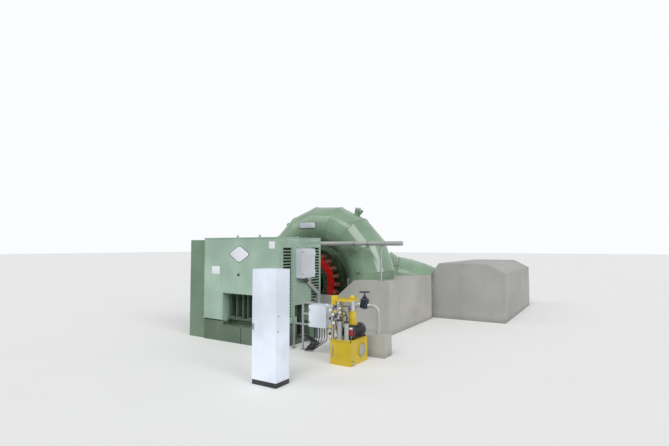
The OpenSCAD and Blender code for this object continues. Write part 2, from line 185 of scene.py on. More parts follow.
class Finish(Graph):
    """A material on one Principled shader, read in Object coordinates."""

    def __init__(self, name, **constants):
        material = bpy.data.materials.new(name)
        material.use_nodes = True
        super().__init__(material.node_tree)
        self.tree.nodes.clear()
        self.material = material
        self.shader = self.tree.nodes.new("ShaderNodeBsdfPrincipled")
        output = self.tree.nodes.new("ShaderNodeOutputMaterial")
        self.tree.links.new(self.shader.outputs[0], output.inputs[0])
        self.place = self.add("ShaderNodeTexCoord", {}, {}, "Object")
        self.normal = self.add("ShaderNodeNewGeometry", {}, {}, "Normal")
        for label, value in constants.items():
            label = label.replace("_", " ").title().replace("Ior", "IOR")
            self.shader.inputs[label].default_value = value

    def drive(self, label, value):
        if isinstance(value, Wire):
            self.tree.links.new(value.socket, self.shader.inputs[label])
        else:
            self.shader.inputs[label].default_value = value

    def rounded(self, radius):
        """A normal that rounds sharp edges, and how near the surface is to one."""
        soft = self.add("ShaderNodeBevel", {"samples": 4}, {"Radius": radius})
        flat = self.vector("DOT_PRODUCT", soft, self.normal, 1)
        return soft, self.band(1.0 - flat, 0.01, 0.14)

    def bump(self, height, normal=None):
        """Heights in metres on top of a normal."""
        sockets = {"Strength": 1.0, "Distance": 1.0, "Height": height}
        if normal:
            sockets["Normal"] = normal
        self.drive("Normal", self.add("ShaderNodeBump", {}, sockets))

    def facing_up(self):
        """How far the surface lies open to settling dust."""
        return self.band(self.split(self.normal, "Z"), 0.35, 0.98)


# Finishes

WORN_PRIMER = (0.2, 0.19, 0.17)
DUST = (0.42, 0.4, 0.35)


def shade(colour, factor):
    """A colour made darker or lighter, up to white."""
    return tuple(min(1.0, c * factor) for c in colour)


def paint(name, colour, rough, dust=0.3, chips=0.35, wave=0.0, edge=0.006, oil=0.0, coat=0.0, streak=0.22):
    """Sprayed machine enamel: orange peel, faint clouds, settled dust, runs and worn edges."""
    f = Finish(name, coat_weight=coat, coat_roughness=0.08)
    soft, near_edge = f.rounded(edge)
    clouds = f.noise(f.place, 0.9, 4.0)
    grain = f.noise(f.place, 22.0, 5.0, 0.6)
    runs = f.band(f.noise(f.place, 1.0, 4.0, 0.6, (7.0, 7.0, 0.45)), 0.52, 0.78)
    upright = 1.0 - abs(f.split(f.normal, "Z"))
    settled = f.facing_up() * f.band(f.noise(f.place, 5.0, 5.0, 0.62), 0.38, 0.72) * dust
    worn = near_edge * f.band(grain, 0.52, 0.62) * chips
    lighter = tuple(min(1.0, c * 1.1 + 0.006) for c in colour)
    tone = f.mix(f.band(clouds, 0.32, 0.68), shade(colour, 0.84), lighter)
    tone = f.mix(runs * upright * streak, tone, shade(colour, 0.62))
    if oil:
        smear = f.band(f.noise(f.place, 3.2, 6.0, 0.65), 0.5, 0.7) * oil
        tone = f.mix(smear, tone, shade(colour, 0.25))
    tone = f.mix(settled, tone, DUST)
    f.drive("Base Color", f.mix(worn, tone, WORN_PRIMER))
    f.drive("Roughness", rough + (grain - 0.5) * 0.1 + settled * 0.4 + worn * 0.3)
    height = f.noise(f.place, 240.0, 2.0) * 0.00003 - worn * 0.0002
    if wave:
        height = height + f.noise(f.place, 1.6, 2.0) * wave
    f.bump(height, soft)


def painted_concrete(name, colour, stain, board):
    """Painted cast concrete: blotches, pinholes, joints of the board height, drips and chipped arrises."""
    f = Finish(name, specular_ior_level=0.3)
    soft, near_edge = f.rounded(0.014)
    blotch = f.noise(f.place, 0.7, 6.0, 0.6)
    fine = f.noise(f.place, 38.0, 6.0, 0.65)
    pores = f.band(f.cells(f.place, 34.0), 0.16, 0.05) * f.band(f.noise(f.place, 9.0, 3.0), 0.46, 0.6)
    upright = 1.0 - abs(f.split(f.normal, "Z"))
    drips = f.band(f.noise(f.place, 1.0, 5.0, 0.65, (5.0, 5.0, 0.3)), 0.54, 0.76) * upright
    joint = f.band(abs((f.split(f.place, "Z") % board) - board * 0.5), 0.006, 0.0) * upright
    # Upright faces turn darker and browner towards the floor, over the lowest 0.22 m.
    foot = f.band(f.split(f.place, "Z"), 0.22, 0.0) * upright
    chipped = near_edge * f.band(f.noise(f.place, 13.0, 5.0, 0.7), 0.52, 0.6)
    tone = f.mix(f.band(blotch, 0.3, 0.7), shade(colour, 0.88), shade(colour, 1.07))
    tone = f.mix(drips * 0.35, tone, stain)
    tone = f.mix(foot * 0.35, tone, shade(stain, 0.45))
    tone = f.mix(pores * 0.55, tone, shade(colour, 0.42))
    tone = f.mix(joint * 0.35, tone, shade(colour, 0.55))
    f.drive("Base Color", f.mix(chipped * 0.8, tone, (0.3, 0.29, 0.26)))
    f.drive("Roughness", 0.62 + (fine - 0.5) * 0.25 + chipped * 0.2)
    f.bump(fine * 0.0012 - pores * 0.0018 - joint * 0.0015 - chipped * 0.004 + blotch * 0.003, soft)


def metal(name, colour, rough, tarnish, edge=0.0015, grain_scale=220.0, lay=(1.0, 1.0, 1.0)):
    """Bare or plated metal with tool marks, long along the lay, and patches of tarnish."""
    f = Finish(name, metallic=1.0)
    soft, near_edge = f.rounded(edge)
    marks = f.noise(f.place, grain_scale, 3.0, 0.6, lay)
    patch = f.band(f.noise(f.place, 11.0, 6.0, 0.65), 0.48, 0.72) * tarnish
    tone = f.mix(f.band(marks, 0.3, 0.7), shade(colour, 0.82), colour)
    tone = f.mix(patch, tone, shade(colour, 0.42))
    f.drive("Base Color", f.mix(near_edge * 0.4, tone, shade(colour, 1.2)))
    f.drive("Roughness", rough + (marks - 0.5) * 0.18 + patch * 0.35)
    f.bump(marks * 0.00006 + patch * 0.00005, soft)


def zinc(name, colour=(0.5, 0.52, 0.53)):
    """Hot-dip galvanised steel with its spangle."""
    f = Finish(name, specular_ior_level=0.6)
    soft, near_edge = f.rounded(0.003)
    flake = f.split(f.cells(f.place, 55.0, output="Color"), "X")
    cloud = f.noise(f.place, 4.0, 5.0, 0.6)
    white_rust = f.band(cloud, 0.55, 0.75) * 0.4
    tone = f.mix(flake, shade(colour, 0.72), shade(colour, 1.12))
    tone = f.mix(white_rust, tone, (0.62, 0.63, 0.62))
    f.drive("Base Color", f.mix(near_edge * 0.3, tone, (0.66, 0.68, 0.7)))
    f.drive("Metallic", 0.85 - white_rust * 0.9)
    f.drive("Roughness", 0.38 + flake * 0.16 + white_rust * 0.4)
    f.bump(flake * 0.00008 + cloud * 0.0003, soft)


def rubber(name, colour, rough):
    """Black hose and gasket rubber with a fine cloth print and grey bloom."""
    f = Finish(name, specular_ior_level=0.35)
    bloom = f.band(f.noise(f.place, 16.0, 5.0, 0.6), 0.5, 0.75)
    cloth = f.cells(f.place, 420.0)
    f.drive("Base Color", f.mix(bloom * 0.35, colour, (0.085, 0.083, 0.08)))
    f.drive("Roughness", rough + bloom * 0.2)
    f.bump(cloth * 0.0002)


def plate_face(name, colour):
    """Satin printed plate without its print: faint scratches and yellowing."""
    f = Finish(name, specular_ior_level=0.5)
    soft = f.rounded(0.0015)[0]
    aged = f.noise(f.place, 5.0, 4.0)
    scratch = f.band(f.noise(f.place, 60.0, 2.0, 0.5, (1.0, 1.0, 9.0)), 0.66, 0.74)
    tone = f.mix(f.band(aged, 0.35, 0.7), colour, tuple(c * k for c, k in zip(colour, (0.94, 0.93, 0.88))))
    f.drive("Base Color", f.mix(scratch * 0.25, tone, shade(colour, 0.75)))
    f.drive("Roughness", 0.32 + scratch * 0.2 + (aged - 0.5) * 0.1)
    f.bump(f.noise(f.place, 300.0, 2.0) * 0.00002 - scratch * 0.00003, soft)


def filter_mat(name):
    """Dark woven filter cloth behind the louvres, dusty where the air comes in."""
    f = Finish(name, specular_ior_level=0.2)
    weave = f.math("SINE", f.split(f.place, "Y") * 900.0) * f.math("SINE", f.split(f.place, "Z") * 900.0)
    lint = f.band(f.noise(f.place, 14.0, 6.0, 0.65), 0.45, 0.7)
    tone = f.mix(f.band(weave, -0.6, 0.6), (0.01, 0.012, 0.011), (0.03, 0.034, 0.03))
    f.drive("Base Color", f.mix(lint * 0.35, tone, (0.085, 0.088, 0.075)))
    f.drive("Roughness", 0.9 - lint * 0.1)
    f.bump(weave * 0.0004)


def gauge_glass(name):
    """White dial of a pressure gauge under its glass, with faint specks."""
    f = Finish(name, coat_weight=1.0, coat_roughness=0.03)
    specks = f.noise(f.place, 500.0, 2.0)
    f.drive("Base Color", f.mix(f.band(specks, 0.4, 0.6), (0.78, 0.78, 0.75), (0.7, 0.71, 0.69)))
    f.drive("Roughness", 0.35 + specks * 0.1)
    f.bump(specks * 0.00002)


def level_glass(name):
    """Oil behind a sight glass."""
    f = Finish(name, coat_weight=1.0, coat_roughness=0.02)
    depth = f.band(f.noise(f.place, 30.0, 3.0), 0.3, 0.7)
    f.drive("Base Color", f.mix(depth, (0.3, 0.16, 0.02), (0.45, 0.27, 0.05)))
    f.drive("Roughness", 0.12 + depth * 0.08)
    f.bump(depth * 0.00005)


def mix_finishes(c):
    """Makes every finish from the colours of the settings."""
    paint("casing green", tuple(c.casing), 0.18, dust=0.16, chips=0.1, wave=0.0008, coat=0.45)
    # Lighter and bluer than the casing green: painted light and painted reflection on the housing's sheets.
    paint("sheet green", tuple(c.sheet), 0.24, dust=0.25, chips=0.2, wave=0.0007, coat=0.4)
    # Bolt green is the cover green: painted shade on the head cover's bolts.
    paint("bolt green", tuple(c.cover), 0.35, dust=0.2, chips=0.8, oil=0.3, edge=0.002)
    # The side green darkened to 0.42: painted shade inside the housing's openings.
    paint("stator green", shade(c.side, 0.42), 0.45, dust=0.4, chips=0.4, oil=0.4)
    # The side green darkened further: painted shade over the base frame and the stay ring.
    paint("base green", shade(c.side, 0.62), 0.34, dust=0.35, oil=0.2)
    # Darker than the sheet green: painted shade, on the cooler box and the shaft seal.
    paint("side green", tuple(c.side), 0.3, chips=0.3, wave=0.0016)
    # Nearly black green: painted shade of the head cover in its recess; its oil smears are real.
    paint("cover green", tuple(c.cover), 0.32, dust=0.25, chips=0.3, oil=0.55)
    paint("lever green", tuple(c.lever), 0.3, chips=0.5, oil=0.25)
    paint("ring red", tuple(c.ring), 0.2, dust=0.2, chips=0.45, oil=0.3, coat=0.3)
    paint("label red", (0.42, 0.025, 0.03), 0.35, dust=0.1, chips=0.2)
    paint("tank yellow", tuple(c.tank), 0.26, dust=0.2, oil=0.05)
    paint("motor black", (0.02, 0.021, 0.024), 0.35, dust=0.45, chips=0.5)
    paint("valve blue", (0.01, 0.013, 0.03), 0.3, dust=0.12, chips=0.3)
    paint("pipe grey", tuple(c.pipe), 0.3, chips=0.2, wave=0.0004)
    paint("box grey", tuple(c.box), 0.34, dust=0.1, chips=0.1, edge=0.004, streak=0.08)
    paint("cabinet white", tuple(c.cabinet), 0.34, dust=0.06, chips=0.08, edge=0.004, streak=0.05)
    painted_concrete("block concrete", tuple(c.block), (0.3, 0.27, 0.19), 1.22)
    painted_concrete("anchor concrete", tuple(c.anchor), (0.27, 0.25, 0.2), 1.31)
    metal("shaft steel", (0.6, 0.61, 0.62), 0.24, 0.25, edge=0.002, lay=(0.3, 9.0, 0.3))
    metal("bolt steel", (0.44, 0.44, 0.43), 0.38, 0.6, grain_scale=300.0)
    metal("bright steel", (0.66, 0.67, 0.68), 0.2, 0.25)
    metal("chrome", (0.72, 0.73, 0.75), 0.1, 0.12)
    metal("brass", (0.62, 0.45, 0.19), 0.3, 0.45, edge=0.001)
    zinc("zinc")
    rubber("rubber", (0.018, 0.018, 0.019), 0.55)
    rubber("hose", (0.024, 0.024, 0.026), 0.45)
    plate_face("plate white", (0.74, 0.77, 0.82))
    plate_face("plate border", (0.08, 0.12, 0.12))
    plate_face("plate silver", (0.55, 0.57, 0.63))
    filter_mat("filter mat")
    gauge_glass("gauge face")
    level_glass("level glass")


def finish(name):
    return bpy.data.materials[name]


NODE_FINISH = {
    "foundation_block": "block concrete",
    "anchor_block": "anchor concrete",
    "valve_ledge": "block concrete",
    "generator_base": "base green",
    "generator_housing": "sheet green",
    "housing_roof": "sheet green",
    "cooler_box": "side green",
    "louvre_panels": "sheet green",
    "junction_box": "box grey",
    "junction_box_door": "box grey",
    "cable_duct": "zinc",
    "spiral_case": "casing green",
    "stay_ring": "base green",
    "inspection_cover": "casing green",
    "head_cover": "cover green",
    "guide_bearing": "cover green",
    "main_shaft": "shaft steel",
    "draft_tube": "casing green",
    "cooling_pipe": "pipe grey",
    "pipe_support": "zinc",
    "control_cabinet": "cabinet white",
    "control_cabinet_door": "cabinet white",
    "terminal_frame": "zinc",
    "terminal_box": "cabinet white",
    "terminal_box_door": "cabinet white",
    "oil_tank": "tank yellow",
    "pump_motor": "motor black",
    "accumulator": "tank yellow",
    "valve_manifold": "chrome",
    "hydraulic_stand": "tank yellow",
    "oil_filters": "pipe grey",
    "stop_valve": "valve blue",
    "handwheel": "motor black",
    "valve_pipe": "pipe grey",
    "regulating_ring": "ring red",
}


# Frames, outlines and paths


def facing(origin, normal, up=Z):
    """A frame with its Z along a normal and its Y as near as may be to up."""
    n = Vector(normal).normalized()
    u = up - n * up.dot(n)
    if u.length < 1e-6:
        u = n.orthogonal()
    u.normalize()
    m = Matrix((u.cross(n), u, n)).transposed().to_4x4()
    m.translation = Vector(origin)
    return m


def front(x, y, z):
    """A frame on a face that looks to the front."""
    return facing((x, y, z), FRONT)


def place(x, y, z):
    """An upright frame at a point, or a step within another frame."""
    return Matrix.Translation((x, y, z))


def raised(at, height):
    """A frame moved along its own Z."""
    return at @ Matrix.Translation((0, 0, height))


def circle(radius, count, start=0.0):
    """Points of a circle about the local Z axis."""
    turns = (start + 2 * pi / count * k for k in range(count))
    return [Vector((radius * cos(a), radius * sin(a), 0)) for a in turns]


def rounded_path(points, radius, steps=6):
    """A path whose corners are turned into arcs."""
    points = [Vector(p) for p in points]
    path = [points[0]]
    for before, corner, after in zip(points, points[1:], points[2:]):
        a = (before - corner).normalized()
        b = (after - corner).normalized()
        half = a.angle(b) / 2
        if half > pi / 2 - 0.01:
            path.append(corner)
            continue
        cut = min(radius / tan(half), (before - corner).length * 0.49, (after - corner).length * 0.49)
        bend = cut * tan(half)
        centre = corner + (a + b).normalized() * (bend / sin(half))
        first = corner + a * cut - centre
        last = corner + b * cut - centre
        path += [centre + first.slerp(last, k / steps).normalized() * bend for k in range(steps + 1)]
    return path + [points[-1]]


def rounded_rhombus(half_w, half_h, cut, steps=7):
    """A rhombus whose corners are rounded from a share of each side."""
    corners = [Vector((half_w, 0, 0)), Vector((0, half_h, 0)), Vector((-half_w, 0, 0)),
               Vector((0, -half_h, 0))]
    outline = []
    for k, corner in enumerate(corners):
        a = corner.lerp(corners[k - 1], cut)
        b = corner.lerp(corners[(k + 1) % 4], cut)
        for t in (s / steps for s in range(steps + 1)):
            outline.append(a * (1 - t) ** 2 + corner * (2 * t * (1 - t)) + b * t ** 2)
    return outline


def rounded_rectangle(half_w, half_h, radius, steps=4):
    """A rectangle whose corners are quarter circles."""
    outline = []
    for quarter, (side, end) in enumerate(((1, 1), (-1, 1), (-1, -1), (1, -1))):
        centre = Vector((side * (half_w - radius), end * (half_h - radius), 0))
        for a in (pi / 2 * (quarter + s / steps) for s in range(steps + 1)):
            outline.append(centre + Vector((cos(a), sin(a), 0)) * radius)
    return outline


# Solids


def link(name, data):
    """A new object in the scene."""
    piece = bpy.data.objects.new(name, data)
    bpy.context.scene.collection.objects.link(piece)
    return piece


def smooth(mesh, crease):
    """Smooth faces, with sharp edges where they meet at more than an angle in degrees."""
    mesh.polygons.foreach_set("use_smooth", [True] * len(mesh.polygons))
    mesh.set_sharp_from_angle(angle=radians(crease))


class Shape:
    """Closed solids gathered in one mesh."""

    def __init__(self, *materials):
        self.bm = bmesh.new()
        self.names = list(materials)
        self.current = 0

    def use(self, name):
        """Sets the material of the parts that follow."""
        if name not in self.names:
            self.names.append(name)
        self.current = self.names.index(name)
        return self

    def keep(self, part):
        """Takes a finished part into the mesh with the current material."""
        for face in part.faces:
            face.material_index = self.current
        mesh = bpy.data.meshes.new("part")
        part.to_mesh(mesh)
        part.free()
        self.bm.from_mesh(mesh)
        bpy.data.meshes.remove(mesh)
        return self

    def prism(self, outline, depth, at, bevel=0.0):
        """An outline in the local XY plane, given a depth along local Z."""
        part = bmesh.new()
        low = [part.verts.new(at @ Vector((p[0], p[1], 0))) for p in outline]
        high = [part.verts.new(at @ Vector((p[0], p[1], depth))) for p in outline]
        part.faces.new(low[::-1])
        part.faces.new(high)
        for k in range(len(low)):
            j = (k + 1) % len(low)
            part.faces.new((low[k], low[j], high[j], high[k]))
        if bevel:
            self.soften(part, bevel)
        return self.keep(part)

    def box(self, low, high, bevel, at=UPRIGHT):
        """A box between two corners, its edges rounded."""
        (x0, y0, z0), (x1, y1, z1) = Vector(low), Vector(high)
        return self.prism([(x0, y0), (x1, y0), (x1, y1), (x0, y1)], z1 - z0, raised(at, z0), bevel)

    @staticmethod
    def soften(part, width, sharp=0.5):
        """Rounds the edges whose faces meet at more than an angle in radians."""
        part.normal_update()
        bmesh.ops.recalc_face_normals(part, faces=part.faces[:])
        edges = [e for e in part.edges if len(e.link_faces) == 2 and e.calc_face_angle(0.0) > sharp]
        settings = {"segments": 2, "profile": 0.5, "affect": "EDGES", "clamp_overlap": True}
        bmesh.ops.bevel(part, geom=edges, offset=width, **settings)

    def gusset(self, outline, at, angle, thickness=0.01):
        """A thin plate that stands out from local Z at an angle, its outline in radius and height."""
        turn = at @ Matrix.Rotation(angle, 4, "Z") @ Matrix.Rotation(pi / 2, 4, "X")
        return self.prism(outline, thickness, raised(turn, -thickness / 2), 0.001)

    def turned(self, profile, at, steps=48, ring=False):
        """A profile of radius and height turned about local Z, from axis to axis or as a closed ring."""
        part = bmesh.new()
        rows = []
        for radius, height in profile:
            section = [Vector()] if radius < 1e-6 else circle(radius, steps)
            rows.append([part.verts.new(at @ (p + Vector((0, 0, height)))) for p in section])
        following = rows[1:] + ([rows[0]] if ring else [])
        for a, b in zip(rows, following):
            for k in range(steps):
                j = (k + 1) % steps
                corners = [a[k % len(a)], a[j % len(a)], b[j % len(b)], b[k % len(b)]]
                unique = list(dict.fromkeys(corners))
                if len(unique) > 2:
                    part.faces.new(unique)
        return self.keep(part)

    def hoop(self, radius, half, low, high, at, steps):
        """A ring of square section about local Z, its middle radius and its two heights given."""
        inner, outer = radius - half, radius + half
        return self.turned([(inner, low), (outer, low), (outer, high), (inner, high)], at, steps, ring=True)

    def sweep(self, path, radius, sides):
        """A round bar along a path."""
        path = [Vector(p) for p in path]
        last = len(path) - 1
        section = circle(1.0, sides)
        part = bmesh.new()
        rows = []
        up = None
        for k, point in enumerate(path):
            along = (path[min(k + 1, last)] - path[max(k - 1, 0)]).normalized()
            if up is None:
                up = along.orthogonal().normalized()
            up = (up - along * up.dot(along)).normalized()
            side = along.cross(up)
            ring = [point + up * (p.x * radius) + side * (p.y * radius) for p in section]
            rows.append([part.verts.new(p) for p in ring])
        for a, b in zip(rows, rows[1:]):
            for k in range(sides):
                j = (k + 1) % sides
                part.faces.new((a[k], a[j], b[j], b[k]))
        part.faces.new(rows[0][::-1])
        part.faces.new(rows[-1])
        return self.keep(part)

    def eye(self, width, height, hole, thickness, at, bevel):
        """A lifting eye: a plate with a round head and a hole, standing on local Y = 0."""
        part = bmesh.new()
        count = 40
        centre = Vector((0, height - width / 2, 0))
        outer, inner = [], []
        for p in circle(1.0, count):
            if p.y >= 0:
                outer.append(centre + p * (width / 2))
            else:
                reach = min(width * 0.62 / max(abs(p.x), 1e-6), centre.y / abs(p.y))
                outer.append(centre + p * reach)
            inner.append(centre + p * hole)
        layers = []
        for z in (-thickness / 2, thickness / 2):
            shift = Vector((0, 0, z))
            layers.append([[part.verts.new(at @ (q + shift)) for q in loop] for loop in (outer, inner)])
        for k in range(count):
            j = (k + 1) % count
            (lo_out, lo_in), (hi_out, hi_in) = layers
            part.faces.new((lo_out[k], lo_in[k], lo_in[j], lo_out[j]))
            part.faces.new((hi_out[k], hi_out[j], hi_in[j], hi_in[k]))
            part.faces.new((lo_out[k], lo_out[j], hi_out[j], hi_out[k]))
            part.faces.new((lo_in[k], hi_in[k], hi_in[j], lo_in[j]))
        self.soften(part, bevel, 0.9)
        return self.keep(part)

    def done(self, name, body=PLANT, crease=32.0):
        """Closes the mesh, links the object and lets it ride on its body."""
        bmesh.ops.recalc_face_normals(self.bm, faces=self.bm.faces[:])
        mesh = bpy.data.meshes.new(name)
        self.bm.to_mesh(mesh)
        self.bm.free()
        for material in self.names:
            mesh.materials.append(finish(material))
        smooth(mesh, crease)
        piece = link(name, mesh)
        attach(piece, body)


# Geometry trees

GEOMETRY = "NodeSocketGeometry"
NUMBER = "NodeSocketFloat"
WHOLE = "NodeSocketInt"
SKIN = "NodeSocketMaterial"


def geometry_tree(name, inputs):
    """A tree with named inputs after its geometry."""
    tree = bpy.data.node_groups.new(name, "GeometryNodeTree")
    tree.interface.new_socket("Geometry", in_out="INPUT", socket_type=GEOMETRY)
    for label, kind, default in inputs:
        socket = tree.interface.new_socket(label, in_out="INPUT", socket_type=kind)
        if default is not None:
            socket.default_value = default
    tree.interface.new_socket("Geometry", in_out="OUTPUT", socket_type=GEOMETRY)
    return Graph(tree)


def close_tree(graph, geometry):
    """Ends a tree in Realize Instances and Set Material."""
    solid = graph.add("GeometryNodeRealizeInstances", {}, {"Geometry": geometry})
    dressed = graph.add("GeometryNodeSetMaterial", {},
                        {"Geometry": solid, "Material": graph.take("Material")})
    graph.add("NodeGroupOutput", {}, {0: dressed})
    return graph.tree


def spread(graph, shape, axis, turn=None):
    """Copies of a shape on the points of a tree, one of its axes along the attribute aim."""
    settings = {"data_type": "FLOAT_VECTOR"}
    aim = graph.add("GeometryNodeInputNamedAttribute", settings, {"Name": "aim"}, "Attribute")
    pose = graph.add("FunctionNodeAlignRotationToVector", {"axis": axis}, {"Vector": aim})
    if turn:
        pose = graph.add("FunctionNodeRotateRotation", {"rotation_space": "LOCAL"},
                         {"Rotation": pose, "Rotate By": turn})
    sockets = {"Points": graph.take("Geometry"), "Instance": shape, "Rotation": pose}
    return graph.add("GeometryNodeInstanceOnPoints", {}, sockets)


def bolt_tree():
    """Hexagon heads with washers on points, each aimed by the attribute aim and turned at random."""
    g = geometry_tree("Hex bolts", (
        ("Across Flats", NUMBER, 0.03),
        ("Head Height", NUMBER, 0.018),
        ("Washer", NUMBER, 0.004),
        ("Seed", WHOLE, 3),
        ("Material", SKIN, None),
    ))
    flats, height, washer = g.take("Across Flats"), g.take("Head Height"), g.take("Washer")

    def disc(sides, radius, depth, middle):
        sockets = {"Vertices": sides, "Radius": radius, "Depth": depth}
        drum = g.add("GeometryNodeMeshCylinder", {}, sockets, "Mesh")
        return g.add("GeometryNodeTransform", {}, {"Geometry": drum, "Translation": g.join(z=middle)})

    head = disc(6, flats * 0.577, height, washer + height * 0.5)
    chamfer = disc(18, flats * 0.47, height * 0.12, washer + height * 1.05)
    ring = disc(20, flats * 0.8, washer, washer * 0.5)
    stud = disc(12, flats * 0.3, height * 0.5, washer + height * 1.2)
    bolt = g.add("GeometryNodeJoinGeometry", {}, {"Geometry": [head, chamfer, ring, stud]})
    angle = g.add("FunctionNodeRandomValue", {"data_type": "FLOAT"},
                  {2: 0.0, 3: 6.28, "Seed": g.take("Seed")}, 1)
    turn = g.add("FunctionNodeAxisAngleToRotation", {}, {"Axis": (0.0, 0.0, 1.0), "Angle": angle})
    return close_tree(g, spread(g, bolt, "Z", turn))


def bead_tree():
    """A rippled weld bead along the edges of a mesh."""
    g = geometry_tree("Weld bead", (
        ("Bead Width", NUMBER, 0.016),
        ("Ripple Pitch", NUMBER, 0.014),
        ("Material", SKIN, None),
    ))
    line = g.add("GeometryNodeMeshToCurve", {}, {"Mesh": g.take("Geometry")})
    step = g.take("Ripple Pitch") * 0.5
    even = g.add("GeometryNodeResampleCurve", {"mode": "LENGTH"}, {"Curve": line, "Length": step})
    index = g.add("GeometryNodeInputIndex")
    swell = g.add("GeometryNodeSetCurveRadius", {}, {"Curve": even, "Radius": 1.0 - (index % 2.0) * 0.16})
    radius = g.take("Bead Width") * 0.5
    profile = g.add("GeometryNodeCurvePrimitiveCircle", {"mode": "RADIUS"},
                    {"Resolution": 8, "Radius": radius})
    bead = g.add("GeometryNodeCurveToMesh", {}, {"Curve": swell, "Profile Curve": profile, "Fill Caps": True})
    return close_tree(g, g.add("GeometryNodeSetShadeSmooth", {}, {"Geometry": bead, "Shade Smooth": True}))


def fin_tree():
    """Flat fins around an axis, each aimed by the attribute aim at its point."""
    g = geometry_tree("Cooling fins", (
        ("Fin Depth", NUMBER, 0.014),
        ("Fin Thickness", NUMBER, 0.004),
        ("Fin Length", NUMBER, 0.3),
        ("Material", SKIN, None),
    ))
    size = g.join(g.take("Fin Depth"), g.take("Fin Length"), g.take("Fin Thickness"))
    fin = g.add("GeometryNodeMeshCube", {}, {"Size": size}, "Mesh")
    return close_tree(g, spread(g, fin, "X"))


TREE_MAKERS = {"bolts": bolt_tree, "bead": bead_tree, "fins": fin_tree}
TREES = {}


def grow(name, kind, values, points, aims=(), edges=(), body=PLANT, crease=None):
    """Runs a geometry tree on points or edges and keeps its result as a plain mesh on one body."""
    if kind not in TREES:
        TREES[kind] = TREE_MAKERS[kind]()
    tree = TREES[kind]
    mesh = bpy.data.meshes.new(name)
    mesh.from_pydata([tuple(p) for p in points], list(edges), [])
    if aims:
        attribute = mesh.attributes.new("aim", "FLOAT_VECTOR", "POINT")
        attribute.data.foreach_set("vector", [c for aim in aims for c in aim])
    piece = link(name, mesh)
    modifier = piece.modifiers.new("Grow", "NODES")
    modifier.node_group = tree
    for item in tree.interface.items_tree:
        if item.item_type == "SOCKET" and item.in_out == "INPUT" and item.name in values:
            value = values[item.name]
            modifier[item.identifier] = finish(value) if item.name == "Material" else value
    piece.update_tag()
    bpy.context.view_layer.update()
    result = bpy.data.meshes.new_from_object(piece.evaluated_get(bpy.context.evaluated_depsgraph_get()))
    piece.modifiers.clear()
    piece.data = result
    result.name = name
    bpy.data.meshes.remove(mesh)
    if not len(result.polygons):
        raise RuntimeError(name + " came out empty")
    if crease:
        smooth(result, crease)
    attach(piece, body)


def bolts(name, spots, flats, body=PLANT, material="bolt steel", height=0.62, seed=3):
    """Hexagon bolts on spots, each a point and the way that it faces. Height is a share of the size."""
    values = {"Across Flats": flats, "Head Height": flats * height, "Washer": flats * 0.12}
    values.update({"Seed": seed, "Material": material})
    points, aims = zip(*spots)
    grow(name, "bolts", values, points, aims, body=body, crease=25.0)


def bolt_circle(at, radius, count, start=0.0):
    """Spots around the local Z axis of a frame."""
    normal = at.to_3x3() @ Z
    return [(at @ p, normal) for p in circle(radius, count, start)]


def row(first, last, count, normal):
    """Spots in a straight row."""
    first, last = Vector(first), Vector(last)
    return [(first.lerp(last, k / (count - 1)), normal) for k in range(count)]


# Settings


def colour(name, description, default):
    return FloatVectorProperty(name=name, description=description, subtype="COLOR", size=3, min=0.0, max=1.0,
                               default=default)


class HYDRO_PG_colours(bpy.types.PropertyGroup):
    """Colours of the paints, as linear values. The sheet green holds painted light and painted reflection;
    the side and cover greens hold painted shade.
    """

    casing: colour("Casing green", "Gloss paint of the turbine casing and draft tube", (0.19, 0.292, 0.196))
    # Lighter and bluer than the casing green: painted light and painted reflection on the housing.
    sheet: colour("Sheet green", "Gloss paint of the generator housing", (0.325, 0.462, 0.365))
    # Darker than the sheet green: painted shade on the cooler box; the base and stator greens are darkened
    # from it.
    side: colour("Side green", "Satin paint of the cooler box and base frame", (0.15, 0.235, 0.155))
    # Nearly black: painted shade of the recessed head cover.
    cover: colour("Cover green", "Oily paint of the head cover", (0.026, 0.046, 0.022))
    lever: colour("Lever green", "Dull paint of the gate levers", (0.085, 0.125, 0.08))
    ring: colour("Ring red", "Gloss paint of the regulating ring", (0.46, 0.008, 0.007))
    tank: colour("Tank yellow", "Paint of the oil unit", (0.64, 0.46, 0.015))
    pipe: colour("Pipe grey", "Paint of the pipes", (0.4, 0.415, 0.385))
    box: colour("Box grey", "Enamel of the junction box", (0.65, 0.685, 0.745))
    cabinet: colour("Cabinet white", "Enamel of the cabinets", (0.74, 0.8, 0.9))
    block: colour("Block grey", "Paint of the foundation block", (0.44, 0.432, 0.405))
    anchor: colour("Anchor grey", "Paint of the anchor block", (0.375, 0.372, 0.36))


class HYDRO_PG_hardware(bpy.types.PropertyGroup):
    """Sizes of what repeats on the plant."""

    cover_bolt: FloatProperty(name="Cover bolt", description="Across flats of the head cover bolts",
                              default=0.046, min=0.02, max=0.08, unit="LENGTH")
    panel_bolt: FloatProperty(name="Panel bolt", description="Across flats of the sheet panel bolts",
                              default=0.019, min=0.01, max=0.03, unit="LENGTH")
    flange_bolt: FloatProperty(name="Flange bolt", description="Across flats of the pipe flange bolts",
                               default=0.024, min=0.01, max=0.04, unit="LENGTH")
    cover_bolt_count: IntProperty(name="Cover bolt count", description="Bolts round the head cover",
                                  default=36, min=12, max=72)
    bead_width: FloatProperty(name="Weld bead", description="Width of the weld beads on the casing",
                              default=0.016, min=0.006, max=0.03, unit="LENGTH")


